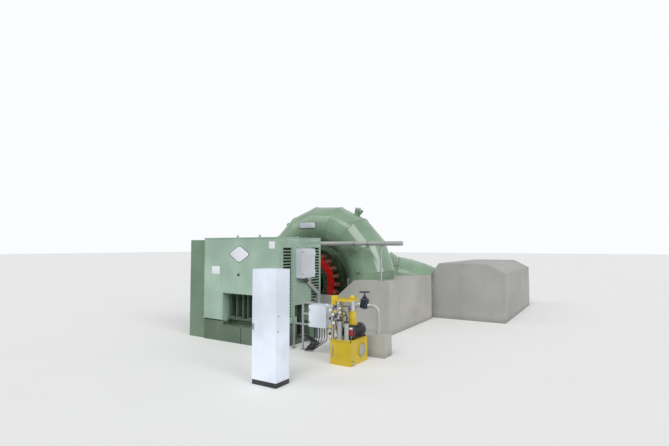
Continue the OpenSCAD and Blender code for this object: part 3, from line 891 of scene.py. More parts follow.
class HYDRO_PG_stage(bpy.types.PropertyGroup):
    """Camera, lamps and sky."""

    eye: FloatVectorProperty(name="Camera place", description="Where the camera stands",
                             subtype="TRANSLATION", unit="LENGTH", size=3, default=(8.6, -13.158, 2.7))
    heading: FloatProperty(name="Heading", description="Turn of the camera to the left", subtype="ANGLE",
                           default=radians(32.0))
    pitch: FloatProperty(name="Pitch", description="Tilt of the camera from straight down", subtype="ANGLE",
                         default=radians(93.05))
    lens: FloatProperty(name="Lens", description="Focal length in millimetres on a 36 mm frame",
                        default=23.247, min=10.0, max=100.0)
    lamp: FloatProperty(name="Lamp strength", description="Strength of the main soft lamp", default=1.45,
                        min=0.0)
    sky: FloatProperty(name="Sky level", description="Strength of the plain sky on the object", default=0.38,
                       min=0.0, max=1.5)


# Stage and finishes of the CAD nodes

# Name, place, spread in degrees and share of the main strength.
LAMPS = (
    ("Lamp over", (1.5, -6.5, 8.0), 40.0, 1.0),
    ("Lamp right", (9.0, -3.0, 5.0), 32.0, 0.68),
    ("Lamp left", (-8.0, -5.0, 6.0), 36.0, 0.22),
    ("Lamp rear", (1.0, 9.0, 6.0), 70.0, 0.1),
    ("Lamp glint high", (-5.0, -4.5, 8.5), 9.0, 0.06),
    ("Lamp glint side", (9.5, -2.0, 7.0), 9.0, 0.06),
)
FLOOR_HALF = 160


class HYDRO_OT_stage(bpy.types.Operator):
    """Sets the floor, the soft lamps, the sky and the camera"""

    bl_idname = "hydro.stage"
    bl_label = "Stage"
    bl_options = {"REGISTER", "UNDO"}

    def execute(self, context):
        scene = context.scene
        stage = scene.hydro_stage
        scene.view_settings.view_transform = "Standard"
        self.floor()
        self.sky(scene, stage.sky)
        for name, spot, angle, share in LAMPS:
            self.lamp(name, spot, angle, stage.lamp * share)
        self.camera(scene, stage)
        return {"FINISHED"}

    @staticmethod
    def floor():
        f = Finish("floor", specular_ior_level=0.25)
        f.drive("Base Color", f.mix(f.noise(f.place, 0.4, 2.0), (0.8, 0.8, 0.79), (0.83, 0.83, 0.82)))
        f.drive("Roughness", 0.7)
        h = FLOOR_HALF
        mesh = bpy.data.meshes.new("floor")
        mesh.from_pydata([(-h, -h, 0), (h, -h, 0), (h, h, 0), (-h, h, 0)], [], [(0, 1, 2, 3)])
        mesh.materials.append(f.material)
        piece = link("floor", mesh)

    @staticmethod
    def sky(scene, level):
        """A plain sky that lights softly and shows white to the camera, in mirrors and through glass."""
        world = bpy.data.worlds.new("Sky")
        world.use_nodes = True
        scene.world = world
        g = Graph(world.node_tree)
        world.node_tree.nodes.clear()
        camera_ray = g.add("ShaderNodeLightPath", {}, {}, "Is Camera Ray")
        glossy_ray = g.add("ShaderNodeLightPath", {}, {}, "Is Glossy Ray")
        clear_ray = g.add("ShaderNodeLightPath", {}, {}, "Is Transmission Ray")
        shown = g.math("MAXIMUM", g.math("MAXIMUM", camera_ray, glossy_ray * 0.45), clear_ray)
        strength = shown * (1.0 - level) + level
        back = g.add("ShaderNodeBackground", {}, {"Color": (0.96, 0.98, 1.0, 1.0), "Strength": strength})
        g.add("ShaderNodeOutputWorld", {}, {"Surface": back})

    @staticmethod
    def lamp(name, spot, angle, strength):
        """A wide soft sun that shines from a place towards the plant."""
        data = bpy.data.lights.new(name, "SUN")
        data.energy = strength
        data.angle = radians(angle)
        lamp = link(name, data)
        lamp.location = spot
        lamp.rotation_euler = (-Vector(spot)).to_track_quat("-Z", "Y").to_euler()

    @staticmethod
    def camera(scene, stage):
        data = bpy.data.cameras.new("Camera")
        data.lens = stage.lens
        data.sensor_width = SENSOR_WIDTH
        data.clip_end = VIEW_DEPTH
        camera = link("Camera", data)
        camera.location = stage.eye
        camera.rotation_euler = (stage.pitch, 0.0, stage.heading)
        scene.camera = camera


class HYDRO_OT_finishes(bpy.types.Operator):
    """Mixes the finishes and puts them on the CAD nodes"""

    bl_idname = "hydro.finishes"
    bl_label = "Finishes"
    bl_options = {"REGISTER", "UNDO"}

    def execute(self, context):
        mix_finishes(context.scene.hydro_colours)
        for name, node in frame["nodes"].items():
            if not node.material_slots:
                raise RuntimeError(name + " has no material slot")
            for slot in node.material_slots:
                slot.material = finish(NODE_FINISH.get(name, "lever green"))
        return {"FINISHED"}


# Generator housing

# Openings of the housing: from, to and top, with the sills of the base frame below them.
FRONT_OPEN = (-0.69, 0.55, 1.36)
FRONT_SILL = 0.6
SIDE_OPEN = (-3.5, -2.86, 1.07)
SIDE_SILL = 0.12
OPEN_DEEP = 0.42
STRIP_FOOT = 0.045
STRIP_EDGE = 0.0015
STRIP_SUNK = 0.002
FOOT_STRIP = 0.028
MID_POST_Y = -3.69


class HYDRO_OT_housing(bpy.types.Operator):
    """Adds the strips, ribs, seal ring and bolts of the generator housing, and what shows in its openings"""

    bl_idname = "hydro.housing"
    bl_label = "Housing strips and bolts"
    bl_options = {"REGISTER", "UNDO"}

    def execute(self, context):
        low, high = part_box("generator_housing")
        cool_low, cool_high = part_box("cooler_box")
        strips = Shape("sheet green")
        foot = low.z + STRIP_FOOT
        spots = self.wall_strips(strips, high.x, 1, low.y, high.y, foot, high.z)
        spots += self.wall_strips(strips, cool_low.x, -1, cool_low.y, cool_high.y, foot, cool_high.z)
        spots += self.front_strips(strips, low, high)
        strips.done("housing_strips")
        bolts("housing_bolts", spots, context.scene.hydro_hardware.panel_bolt, height=0.5)
        self.shaft_seal(high.y)
        self.front_inside(low.y + OPEN_DEEP)
        self.side_inside(high.x - OPEN_DEEP)
        return {"FINISHED"}

    @staticmethod
    def wall_strips(strips, x, way, y0, y1, foot, top):
        """Strips of one side wall, under the roof, down its posts and along its foot, and their bolts."""

        def strip(proud, y_low, y_high, z_low, z_high):
            left, right = sorted((x - way * STRIP_SUNK, x + way * proud))
            strips.box((left, y_low, z_low), (right, y_high, z_high), STRIP_EDGE)

        strip(0.006, y0, y1, top - 0.15, top - 0.01)
        face = x + way * 0.006
        spots = row((face, y0 + 0.09, top - 0.075), (face, y1 - 0.09, top - 0.075), 8, X * way)
        for centre, half, proud in ((y0 + 0.045, 0.045, 0.005), (MID_POST_Y, 0.019, 0.026),
                                    (y1 - 0.009, 0.009, 0.005)):
            strip(proud, centre - half, centre + half, foot, top - 0.155)
        open_low, open_high, open_top = SIDE_OPEN
        strip(0.012, y0, open_low - 0.002 if way > 0 else y1, foot, foot + FOOT_STRIP)
        if way > 0:
            strip(0.012, open_high + 0.002, y1, foot, foot + FOOT_STRIP)
            strip(0.01, open_low - 0.03, open_high + 0.03, open_top + 0.002, open_top + 0.027)
        post = x + way * 0.005
        return spots + row((post, y0 + 0.045, 0.8), (post, y0 + 0.045, top - 0.24), 8, X * way)

    @staticmethod
    def front_strips(strips, low, high):
        """Strips along the foot of the front and round its opening, and the bolts of front and back."""
        foot = low.z + STRIP_FOOT
        x0, x1, top = FRONT_OPEN

        def strip(proud, x_low, x_high, z_low, z_high):
            strips.box((x_low, low.y - proud, z_low), (x_high, low.y + STRIP_SUNK, z_high), STRIP_EDGE)

        strip(0.01, low.x, x0 - 0.002, foot, foot + FOOT_STRIP)
        strip(0.01, x1 + 0.002, high.x, foot, foot + FOOT_STRIP)
        strip(0.008, x0 - 0.035, x1 + 0.035, top + 0.002, top + 0.032)
        face = low.y - 0.008
        spots = []
        for x in (x0 - 0.017, x1 + 0.017):
            strip(0.008, x - 0.015, x + 0.015, foot + 0.03, top + 0.001)
            spots += row((x, face, foot + 0.08), (x, face, top - 0.06), 6, FRONT)
        spots += row((x0 + 0.06, face, top + 0.017), (x1 - 0.06, face, top + 0.017), 8, FRONT)
        spots += row((low.x + 0.05, high.y, low.z + 0.09), (high.x - 0.05, high.y, low.z + 0.09), 9, Y)
        for x in (low.x + 0.03, high.x - 0.03):
            for y, way in ((low.y, FRONT), (high.y, Y)):
                spots += row((x, y, 0.75), (x, y, high.z - 0.12), 8, way)
        return spots

    @staticmethod
    def shaft_seal(face):
        """Stepped ring round the shaft on the back of the housing, with two circles of bolts."""
        at = facing((0, face, AXIS_Z), Y)
        ring = Shape("side green")
        ring.turned([(0.18, -0.002), (0.52, -0.002), (0.52, 0.018), (0.5, 0.022), (0.36, 0.024), (0.34, 0.06),
                     (0.26, 0.07), (0.24, 0.12), (0.18, 0.12)], at, 72, ring=True)
        ring.done("shaft_seal")
        spots = bolt_circle(raised(at, 0.02), 0.46, 16) + bolt_circle(raised(at, 0.066), 0.3, 12)
        bolts("shaft_seal_bolts", spots, 0.024)

    @staticmethod
    def front_inside(back):
        """Ribs of the stator frame, its feet and a cable bundle behind the front opening."""
        left, right, top = FRONT_OPEN[0] + 0.005, FRONT_OPEN[1] - 0.005, FRONT_OPEN[2]
        floor = FRONT_SILL + 0.002
        # The dark stator green of these parts is painted shade inside the front opening.
        inside = Shape("stator green", "hose")
        for x in (-0.6, -0.36, -0.12, 0.06, 0.3, 0.46):
            inside.box((x - 0.02, back - 0.2, floor), (x + 0.02, back + 0.001, top - 0.008), 0.003)
        inside.box((left, back - 0.1, 1.1), (right, back + 0.001, 1.13), 0.003)
        inside.box((left, back - 0.24, floor), (right, back + 0.001, 0.64), 0.003)
        for x in (-0.48, -0.24, 0.18):
            inside.box((x - 0.07, back - 0.235, 0.641), (x + 0.07, back - 0.15, 0.7), 0.006)
        inside.use("hose")
        for k in range(3):
            x, near, far = 0.375 + k * 0.022, back - 0.12, back - 0.06
            path = [(x, far, top), (x, far, 1.2), (x, near, 0.8), (x, near, 0.641)]
            inside.sweep(rounded_path(path, 0.08, 5), 0.01, 10)
        inside.done("stator_front")
        spots = row((-0.62, back - 0.2, 0.64), (0.5, back - 0.2, 0.64), 10, Z)
        bolts("stator_front_bolts", spots, FOOT_BOLT, seed=11)

    @staticmethod
    def side_inside(back):
        """Columns, foot and cables behind the side opening."""
        y0, y1, top = SIDE_OPEN
        # The dark stator green of these parts is painted shade inside the side opening.
        inside = Shape("stator green", "hose", "zinc")
        for y in (y0 + 0.1, y0 + 0.34, y1 - 0.08):
            foot, head = SIDE_SILL + 0.002, top - 0.002
            inside.box((back - 0.001, y - 0.025, foot), (back + 0.16, y + 0.025, head), 0.003)
        inside.box((back - 0.001, y0 + 0.002, 0.56), (back + 0.12, y1 - 0.002, 0.6), 0.003)
        inside.box((back - 0.001, y0 + 0.002, SIDE_SILL + 0.001), (back + 0.24, y1 - 0.002, 0.15), 0.003)
        inside.use("hose")
        for k in range(4):
            y = y0 + 0.43 + k * 0.032
            low_y = y - 0.02 * k
            path = [(back + 0.06, y, top), (back + 0.06, y, 0.86), (back + 0.2, low_y, 0.52),
                    (back + 0.24, low_y, 0.151)]
            inside.sweep(rounded_path(path, 0.12, 6), 0.012, 10)
        inside.use("zinc").box((back + 0.17, y0 + 0.34, 0.151), (back + 0.3, y0 + 0.6, 0.19), 0.003)
        inside.done("stator_side")
        spots = row((back + 0.2, y0 + 0.04, 0.15), (back + 0.2, y0 + 0.3, 0.15), 4, Z)
        bolts("stator_side_bolts", spots, FOOT_BOLT, seed=12)


# Half widths, half heights and corners of the bare plates, and where their middles are.
DIAMOND_HALF = (0.42, 0.262)
DIAMOND_CUT = 0.2
DIAMOND_RIM = 0.03
DIAMOND_PLACE = (-0.075, 2.47)
SMALL_PLATES = (((0.158, 0.112, 0.008), (-1.0, 2.005)), ((0.1, 0.095, 0.006), (1.105, 2.727)))
FITTING_PLACE = (-0.09, 1.9)


class HYDRO_OT_plates(bpy.types.Operator):
    """Adds the bare plates and the small fitting of the front panel"""

    bl_idname = "hydro.plates"
    bl_label = "Front plates"
    bl_options = {"REGISTER", "UNDO"}

    def execute(self, context):
        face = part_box("generator_housing")[0].y
        plates = Shape("plate white", "plate border")
        outline = rounded_rhombus(*DIAMOND_HALF, DIAMOND_CUT)
        self.plate(plates, outline, face, DIAMOND_PLACE, DIAMOND_RIM)
        for size, middle in SMALL_PLATES:
            self.plate(plates, rounded_rectangle(*size), face, middle)
        plates.done("front_plates")
        fitting = Shape("cover green")
        x, z = FITTING_PLACE
        fitting.turned([(0, -0.002), (0.034, -0.002), (0.034, 0.01), (0.025, 0.012), (0.025, 0.034),
                        (0.02, 0.04), (0.008, 0.041), (0, 0.038)], front(x, face, z), 32)
        fitting.done("front_fitting")
        return {"FINISHED"}

    @staticmethod
    def plate(shape, outline, face, middle, rim=0.0):
        """A thin bare plate on the front, on a dark rim where it has one."""
        x, z = middle
        at = front(x, face + 0.0005, z)
        if rim:
            shape.use("plate border").prism(outline, 0.003, at, 0.0006)
            reach = max(p.length for p in outline)
            outline = [p * (1 - rim / reach) for p in outline]
        shape.use("plate white").prism(outline, 0.0042, at, 0.0008)


# Louvres of one wall: where each starts along Y and how wide it is, and their height.
LOUVRES = ((-4.128, 0.392), (-2.833, 0.453))
LOUVRE_LOW = 0.745
LOUVRE_HIGH = 2.674
LOUVRE_DEEP = 0.0585
PLEAT = 0.016


class HYDRO_OT_louvres(bpy.types.Operator):
    """Adds the pleated filter mats behind the louvres and the screws of their frames"""

    bl_idname = "hydro.louvres"
    bl_label = "Filter mats"
    bl_options = {"REGISTER", "UNDO"}

    def execute(self, context):
        mats = Shape("filter mat")
        screws = []
        for face, way in ((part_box("generator_housing")[1].x, 1), (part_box("cooler_box")[0].x, -1)):
            back = face - way * LOUVRE_DEEP
            head = face - way * 0.004
            for y0, width in LOUVRES:
                pleats = int(width / PLEAT)
                folds = [(0.002 if k % 2 else 0.012, width * k / pleats) for k in range(pleats + 1)]
                outline = [(back + way * out, y0 + y) for out, y in folds]
                outline += [(back - way * 0.0005, y0 + width), (back - way * 0.0005, y0)]
                mats.prism(outline, LOUVRE_HIGH - LOUVRE_LOW, place(0, 0, LOUVRE_LOW))
                for y in (y0 + 0.011, y0 + width - 0.011):
                    screws += row((head, y, LOUVRE_LOW + 0.05), (head, y, LOUVRE_HIGH - 0.05), 9, X * way)
        mats.done("filter_mats", crease=10.0)
        bolts("louvre_screws", screws, 0.011, height=0.35, seed=5)
        return {"FINISHED"}


# Spiral casing

STAY_RADIUS = 1.3
STAY_HALF = 0.452
DECK_GAP = 0.004
SEAM_RIPPLE = 0.022


def tube_radius(k):
    """Radius of the spiral's tube at a mitre."""
    return TUBE_BIG + (TUBE_SMALL - TUBE_BIG) * k / CASE_COUNT


def mitre_ring(k, count=160):
    """Points of the mitre between two lengths of the spiral casing."""
    slant = cos(radians(CASE_STEP / 2))
    out = radial(CASE_FIRST + k * CASE_STEP)
    centre = Vector((0, 0, CASE_Z)) + out * (CASE_R / slant)
    radius = tube_radius(k)
    turn = 2 * pi / count
    return [centre + out * (radius / slant * cos(s * turn)) + Y * (radius * sin(s * turn))
            for s in range(count)]


def radial(degrees):
    """The way out from the shaft's axis at an angle, in the plane of the spiral."""
    a = radians(degrees)
    return Vector((cos(a), 0, sin(a)))


def runs_of(points, keep):
    """The unbroken runs of a closed ring of points that pass a test."""
    flags = [keep(p) for p in points]
    if all(flags):
        return [points + points[:1]]
    start = flags.index(False)
    runs, current = [], []
    for p in points[start:] + points[:start + 1]:
        if keep(p):
            current.append(p)
            continue
        if len(current) > 3:
            runs.append(current)
        current = []
    return runs


def seams(name, lines, width):
    """Weld beads along lines of points, in one piece."""
    points, edges = [], []
    for line in lines:
        first = len(points)
        points += line
        edges += [(first + k, first + k + 1) for k in range(len(line) - 1)]
    values = {"Bead Width": width, "Ripple Pitch": SEAM_RIPPLE, "Material": "casing green"}
    grow(name, "bead", values, points, edges=edges)


class HYDRO_OT_casing(bpy.types.Operator):
    """Adds the weld seams, lug, nozzle cover, hand hole and bare name plate of the spiral casing"""

    bl_idname = "hydro.casing"
    bl_label = "Casing seams and fittings"
    bl_options = {"REGISTER", "UNDO"}

    def execute(self, context):
        hardware = context.scene.hydro_hardware
        mitres = [run for k in range(1, CASE_COUNT) for run in runs_of(mitre_ring(k), self.shows)]
        seams("casing_seams", mitres, hardware.bead_width)
        arcs = [self.stay_arc(side) for side in (-STAY_HALF, STAY_HALF)]
        seams("stay_ring_seams", arcs, hardware.bead_width)
        self.name_plate()
        self.lug()
        self.nozzle_cover(hardware.flange_bolt)
        self.hand_hole()
        return {"FINISHED"}

    @staticmethod
    def shows(p):
        """True for a point above the deck and outside the stay ring."""
        return p.z > DECK_Z + DECK_GAP and hypot(p.x, p.z - AXIS_Z) > STAY_RADIUS + 0.002

    @staticmethod
    def stay_arc(y, steps=90):
        """The arc above the deck where the spiral meets one side of the stay ring."""
        angles = [radians(8.2 + 163.6 * s / steps) for s in range(steps + 1)]
        return [Vector((STAY_RADIUS * cos(a), y, AXIS_Z + STAY_RADIUS * sin(a))) for a in angles]

    @staticmethod
    def name_plate():
        x, y, z = -0.29, -0.735, 3.435
        at = front(x, y, z)
        plate = Shape("plate silver", "plate border", "bolt steel")
        plate.use("plate border").prism(rounded_rectangle(0.35, 0.11, 0.012), 0.004, at, 0.001)
        plate.use("plate silver").prism(rounded_rectangle(0.338, 0.098, 0.008), 0.0065, at, 0.001)
        plate.use("bolt steel")
        screw = [(0, -0.1), (0.01, -0.1), (0.01, 0.006), (0.013, 0.008), (0.009, 0.014), (0, 0.015)]
        for dx in (-0.32, 0.32):
            for dz in (-0.085, 0.085):
                plate.turned(screw, front(x + dx, y, z + dz), 16)
        plate.done("name_plate")

    @staticmethod
    def lug():
        """Lifting lug on the upper left of the spiral."""
        out = radial(131.0)
        along = Vector((-out.z, 0, out.x))
        foot = Vector((0, 0, CASE_Z)) + out * 2.45
        lug = Shape("casing green")
        lug.eye(0.18, 0.22, 0.045, 0.035, facing(foot, along.cross(out), out), 0.004)
        lug.done("casing_lugs")

    @staticmethod
    def nozzle_cover(flange_bolt):
        """Blank flange, gussets, eye and bolts of the nozzle on top of the spiral."""
        out = radial(62.0)
        at = facing(Vector((0, 0.2, CASE_Z)) + out * (CASE_R + 0.9), out, Y)
        cover = Shape("casing green", "rubber")
        cover.use("rubber").turned([(0, -0.001), (0.146, -0.001), (0.146, 0.003), (0, 0.003)], at, 48)
        cover.use("casing green")
        cover.turned([(0, 0.003), (0.147, 0.003), (0.15, 0.006), (0.15, 0.024), (0.147, 0.027), (0.07, 0.027),
                      (0.066, 0.03), (0, 0.03)], at, 48)
        for k in range(4):
            cover.gusset([(0.105, -0.042), (0.142, -0.042), (0.142, -0.05), (0.112, -0.15), (0.105, -0.15)],
                         at, radians(45 + 90 * k))
        cover.eye(0.07, 0.075, 0.018, 0.014, facing(at @ Vector((0, 0, 0.029)), Y, out), 0.002)
        cover.done("nozzle_cover")
        bolts("nozzle_bolts", bolt_circle(raised(at, 0.027), 0.128, 12, 0.26), flange_bolt, seed=13)

    @staticmethod
    def hand_hole():
        """Small square hand hole on the right flank of the spiral."""
        at = front(1.77, -0.77, 1.9)
        hole = Shape("casing green")
        hole.prism(rounded_rectangle(0.06, 0.06, 0.014), 0.034, at, 0.003)
        hole.prism(rounded_rectangle(0.074, 0.074, 0.018), 0.014, raised(at, 0.034), 0.003)
        hole.done("hand_hole")
        spots = [(at @ Vector((x, y, 0.048)), FRONT) for x in (-0.052, 0.052) for y in (-0.052, 0.052)]
        bolts("hand_hole_bolts", spots, 0.018, seed=14)


# Draft tube

# Points of the tube's middle line with the radius at each, as in the CAD model.
DRAFT_LINE = (
    ((0, 0.45, 1.43), 0.82),
    ((0, 1.2, 1.43), 0.88),
    ((0.28, 1.72, 1.43), 0.96),
    ((1.4, 2.52, 1.44), 1.0),
    ((1.59, 2.62, 1.42), 0.87),
    ((1.98, 2.8, 1.33), 0.87),
    ((2.34, 2.95, 1.21), 0.87),
    ((2.7, 3.1, 1.03), 0.89),
    ((2.98, 3.22, 0.74), 0.91),
)
ANCHOR_TOP = 2.049
ANCHOR_SHOULDER = 1.399
ANCHOR_CHAMFER = 0.45
CUT_LEAN = Vector((0.36, -1.0, 0.05)) * 0.95


class HYDRO_OT_draft(bpy.types.Operator):
    """Adds the weld seams and the manhole of the draft tube, and trims it at the anchor block"""

    bl_idname = "hydro.draft"
    bl_label = "Draft tube seams and manhole"
    bl_options = {"REGISTER", "UNDO"}

    def execute(self, context):
        hardware = context.scene.hydro_hardware
        rings = [self.mitre(*DRAFT_LINE[k - 1:k + 2]) for k in range(1, len(DRAFT_LINE) - 1)]
        runs = [run for ring in rings for run in runs_of(ring, self.shows)]
        seams("draft_seams", runs, hardware.bead_width)
        self.manhole(hardware.flange_bolt)
        self.trimmed_tube()
        return {"FINISHED"}

    @staticmethod
    def mitre(last, this, following, count=150):
        """Points of the mitre where two lengths of the tube meet."""
        centre, radius = Vector(this[0]), this[1]
        before = (centre - Vector(last[0])).normalized()
        after = (Vector(following[0]) - centre).normalized()
        normal = (before + after).normalized()
        bend = after - before
        bend = (bend - normal * bend.dot(normal)).normalized()
        across = normal.cross(bend)
        long = radius / cos(before.angle(after) / 2)
        turn = 2 * pi / count
        return [centre + bend * (long * cos(turn * t)) + across * (radius * sin(turn * t))
                for t in range(count)]

    @staticmethod
    def shows(p):
        """True for what shows of the tube: above its block, clear of the anchor and the floor."""
        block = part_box("foundation_block")[1]
        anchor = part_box("anchor_block")[0]
        in_block = p.x < block.x + 0.004 and p.y < block.y + 0.004 and p.z < DECK_Z + DECK_GAP
        in_anchor = p.x > anchor.x - 0.004 and p.y > anchor.y - 0.004
        beside = p.x > anchor.x - 0.25 and p.y < anchor.y + 0.05
        return p.z > 0.004 and not in_block and not in_anchor and not beside and hypot(p.x, p.y) > 1.0

    @staticmethod
    def manhole(flange_bolt):
        """Round cover on the shoulder of the tube."""
        normal = Vector((0.355, -0.67, 0.652)).normalized()
        at = facing(Vector((1.495, 2.57, 1.43)) + normal * 0.915, normal)
        boss = Shape("casing green")
        boss.turned([(0, -0.05), (0.105, -0.05), (0.105, 0.045), (0.128, 0.047), (0.13, 0.05), (0.13, 0.066),
                     (0.126, 0.07), (0.06, 0.071), (0.054, 0.078), (0, 0.08)], at, 44)
        boss.done("draft_manhole")
        bolts("draft_manhole_bolts", bolt_circle(raised(at, 0.07), 0.112, 10), flange_bolt, seed=15)

    @staticmethod
    def cutter():
        """A block in front of the anchor block, over its chamfer, that leans along the tube."""
        x0, y0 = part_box("anchor_block")[0].xy
        top = ANCHOR_TOP
        outline = ((x0, -0.6), (6.2, -0.6), (6.2, top), (x0 + ANCHOR_CHAMFER, top), (x0, ANCHOR_SHOULDER))
        part = bmesh.new()
        near = [part.verts.new(Vector((x, y0, z)) + CUT_LEAN) for x, z in outline]
        far = [part.verts.new(Vector((x, y0, z))) for x, z in outline]
        part.faces.new(near)
        part.faces.new(far[::-1])
        for k in range(len(near)):
            m = (k + 1) % len(near)
            part.faces.new((near[m], near[k], far[k], far[m]))
        bmesh.ops.recalc_face_normals(part, faces=part.faces[:])
        mesh = bpy.data.meshes.new("cutter")
        part.to_mesh(mesh)
        part.free()
        return link("cutter", mesh)

    def trimmed_tube(self):
        """The tube, cut off at the anchor block's front plane as in the view, stands for its solid."""
        node = frame["nodes"]["draft_tube"]
        mesh = node.data.copy()
        mesh.transform(node.matrix_world)
        knife = self.cutter()
        tube = link("draft_tube_skin", mesh)
        cut = tube.modifiers.new("Cut", "BOOLEAN")
        cut.operation = "DIFFERENCE"
        cut.solver = "EXACT"
        cut.object = knife
        bpy.context.view_layer.update()
        result = bpy.data.meshes.new_from_object(tube.evaluated_get(bpy.context.evaluated_depsgraph_get()))
        tube.modifiers.clear()
        tube.data = result
        smooth(result, 5)
        bpy.data.objects.remove(knife)
        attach(tube, PLANT)
        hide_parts("draft_tube")


# Head cover and guide vane gear

# Bolt circles on the shaft's axis: name, Y, side, radius, count, start, across flats and seed.
AXIS_BOLTS = (
    ("bearing_bolts", -1.021, -1, 0.375, 16, 0.1, 0.036, 8),
    ("gland_bolts", -1.061, -1, 0.262, 8, 0.2, 0.024, 9),
    ("rim_bolts", -1.001, -1, 0.64, 24, 0.13, 0.024, 4),
    ("coupling_bolts", -2.06, -1, 0.262, 12, 0.0, 0.055, 6),
    ("coupling_nuts", -1.9, 1, 0.262, 12, 0.0, 0.055, 7),
)
COVER_FACE = -0.7
COVER_BOLT_RADIUS = 1.148
RING_FACE = -1.0
RING_BOLT_RADIUS = 0.842
# Radius and height of the collar that caps a lever's pin, from its seat round the pin to its top.
PIN_CAP = ((0.0305, 0.0), (0.039, 0.0), (0.041, 0.004), (0.041, 0.022), (0.037, 0.029), (0.026, 0.03),
           (0, 0.035), (0, 0))


class HYDRO_OT_cover(bpy.types.Operator):
    """Adds the bolts of the head cover, bearing and coupling"""

    bl_idname = "hydro.cover"
    bl_label = "Head cover and bearing"
    bl_options = {"REGISTER", "UNDO"}

    def execute(self, context):
        hardware = context.scene.hydro_hardware
        face = front(0, COVER_FACE, AXIS_Z)
        spots = bolt_circle(face, COVER_BOLT_RADIUS, hardware.cover_bolt_count, radians(5))
        bolts("cover_bolts", spots, hardware.cover_bolt, material="bolt green")
        for name, y, side, radius, count, start, flats, seed in AXIS_BOLTS:
            face = facing((0, y, AXIS_Z), Y * side)
            bolts(name, bolt_circle(face, radius, count, start), flats, seed=seed)
        return {"FINISHED"}


class HYDRO_OT_gear(bpy.types.Operator):
    """Adds the pin caps of the gate levers and the bolts of the regulating ring"""

    bl_idname = "hydro.gear"
    bl_label = "Guide vane gear"
    bl_options = {"REGISTER", "UNDO"}

    def execute(self, context):
        spots = bolt_circle(front(0, RING_FACE, AXIS_Z), RING_BOLT_RADIUS, VANES, radians(7.5))
        bolts("ring_bolts", spots, 0.024, body="ring", material="ring red", height=0.5, seed=2)
        for k in range(VANES):
            pin = radial(360 / VANES * k) * PIN_R
            cap = Shape("lever green")
            cap.turned(PIN_CAP, front(pin.x, RING_FACE - 0.007, AXIS_Z + pin.z), 36)
            cap.done("pin_cap_%02d" % (k + 1), "gate_lever_%02d" % (k + 1))
        return {"FINISHED"}


# Cooling pipe

PIPE_JOINT_X = 2.78
CLAMP_X = (1.77, 2.25)


class HYDRO_OT_pipe(bpy.types.Operator):
    """Adds the clamps, joint ring, end cap, floor flange and post bolts of the cooling pipe"""

    bl_idname = "hydro.pipe"
    bl_label = "Cooling pipe fittings"
    bl_options = {"REGISTER", "UNDO"}

    def execute(self, context):
        low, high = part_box("cooling_pipe")
        radius = (high.y - low.y) / 2
        y, z = (low.y + high.y) / 2, high.z - radius
        foot = Vector((low.x + radius, y, DECK_Z))
        self.joint(radius, Vector((PIPE_JOINT_X, y, z)), Vector((high.x, y, z)),
                   Vector((low.x + radius, y, z)), foot)
        self.clamps(radius, y, z, foot)
        return {"FINISHED"}

    @staticmethod
    def joint(radius, joint, end, elbow, foot):
        """Joint ring, cap of the far end, cap over the elbow and flange on the deck."""
        fittings = Shape("pipe grey")
        r = radius
        inner, outer = r - 0.002, r + 0.01
        band = [(inner, -0.03), (outer, -0.028), (r + 0.012, 0.0), (outer, 0.028), (inner, 0.03)]
        fittings.turned(band, facing(joint, X), 48, ring=True)
        dome = [(r * cos(a), 0.028 * sin(a)) for a in (pi / 2 * k / 8 for k in range(8))]
        fittings.turned([(0, -0.002), (r, -0.002)] + dome + [(0, 0.028)], facing(end, X), 48)
        over = [(0, r - 0.03), (r + 0.004, r - 0.03), (r + 0.006, r - 0.01)]
        over += [(out + 0.004, height + r) for out, height in dome[1:]] + [(0, r + 0.028)]
        fittings.turned(over, facing(elbow, -X), 48)
        fittings.turned([(r - 0.002, 0.001), (r + 0.055, 0.001), (r + 0.055, 0.022), (r + 0.012, 0.024),
                         (r + 0.002, 0.04), (r - 0.002, 0.04)], Matrix.Translation(foot), 48, ring=True)
        fittings.done("pipe_joint")

    @staticmethod
    def clamps(radius, y, z, foot):
        """Two band clamps with their tabs, and the hoop that holds the pipe on its post."""
        clamps = Shape("zinc", "bolt steel")
        clamps.use("bolt steel")
        for x in CLAMP_X:
            band = [(radius, -0.024), (radius + 0.008, -0.024), (radius + 0.008, 0.024), (radius, 0.024)]
            clamps.turned(band, facing((x, y, z), X), 48, ring=True)
            for side, drop in ((-1, 0.034), (1, 0.018)):
                centre = Vector((x, y, z + side * (radius + drop - 0.004)))
                half = Vector((0.024, 0.012, drop))
                clamps.box(centre - half, centre + half, 0.002)
        post_low, post_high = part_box("pipe_support")
        x, top = (post_low.x + post_high.x) / 2, post_high.z
        reach = radius + 0.006
        hoop = [Vector((x, y + reach * cos(a), z + reach * sin(a)))
                for a in (pi * k / 18 for k in range(19))]
        legs = [Vector((x, side.y, top - 0.045)) for side in (hoop[0], hoop[-1])]
        clamps.sweep([legs[0]] + hoop + [legs[1]], 0.006, 12)
        clamps.use("zinc").box((x - 0.04, y - 0.1, top - 0.032), (x + 0.04, y + 0.1, top - 0.022), 0.002)
        clamps.done("pipe_clamps")
        half = (-0.065, 0.065)
        spots = [(Vector((x + u, y + v, DECK_Z + 0.015)), Z) for u in half for v in half]
        spots += [(foot + Z * 0.022 + q, Z) for q in circle(radius + 0.036, 8, 0.3)]
        bolts("post_bolts", spots, 0.022)
        spots = [(Vector((x, y + side * reach, top - 0.032)), -Z) for side in (-1, 1)]
        bolts("hoop_nuts", spots, 0.019, seed=21)


# Cabinets, boxes and their cables

HANDLE_LENGTH = 0.15
CABINET_WIDTH = 0.607
LOCK_HEIGHTS = (1.06, 1.35)
JUNCTION_GLANDS = 4
JUNCTION_FIRST_Y = -3.435
JUNCTION_PITCH = 0.125
TERMINAL_GLANDS = 6
TERMINAL_PITCH = 0.075
TERMINAL_GLAND_Y = -4.04
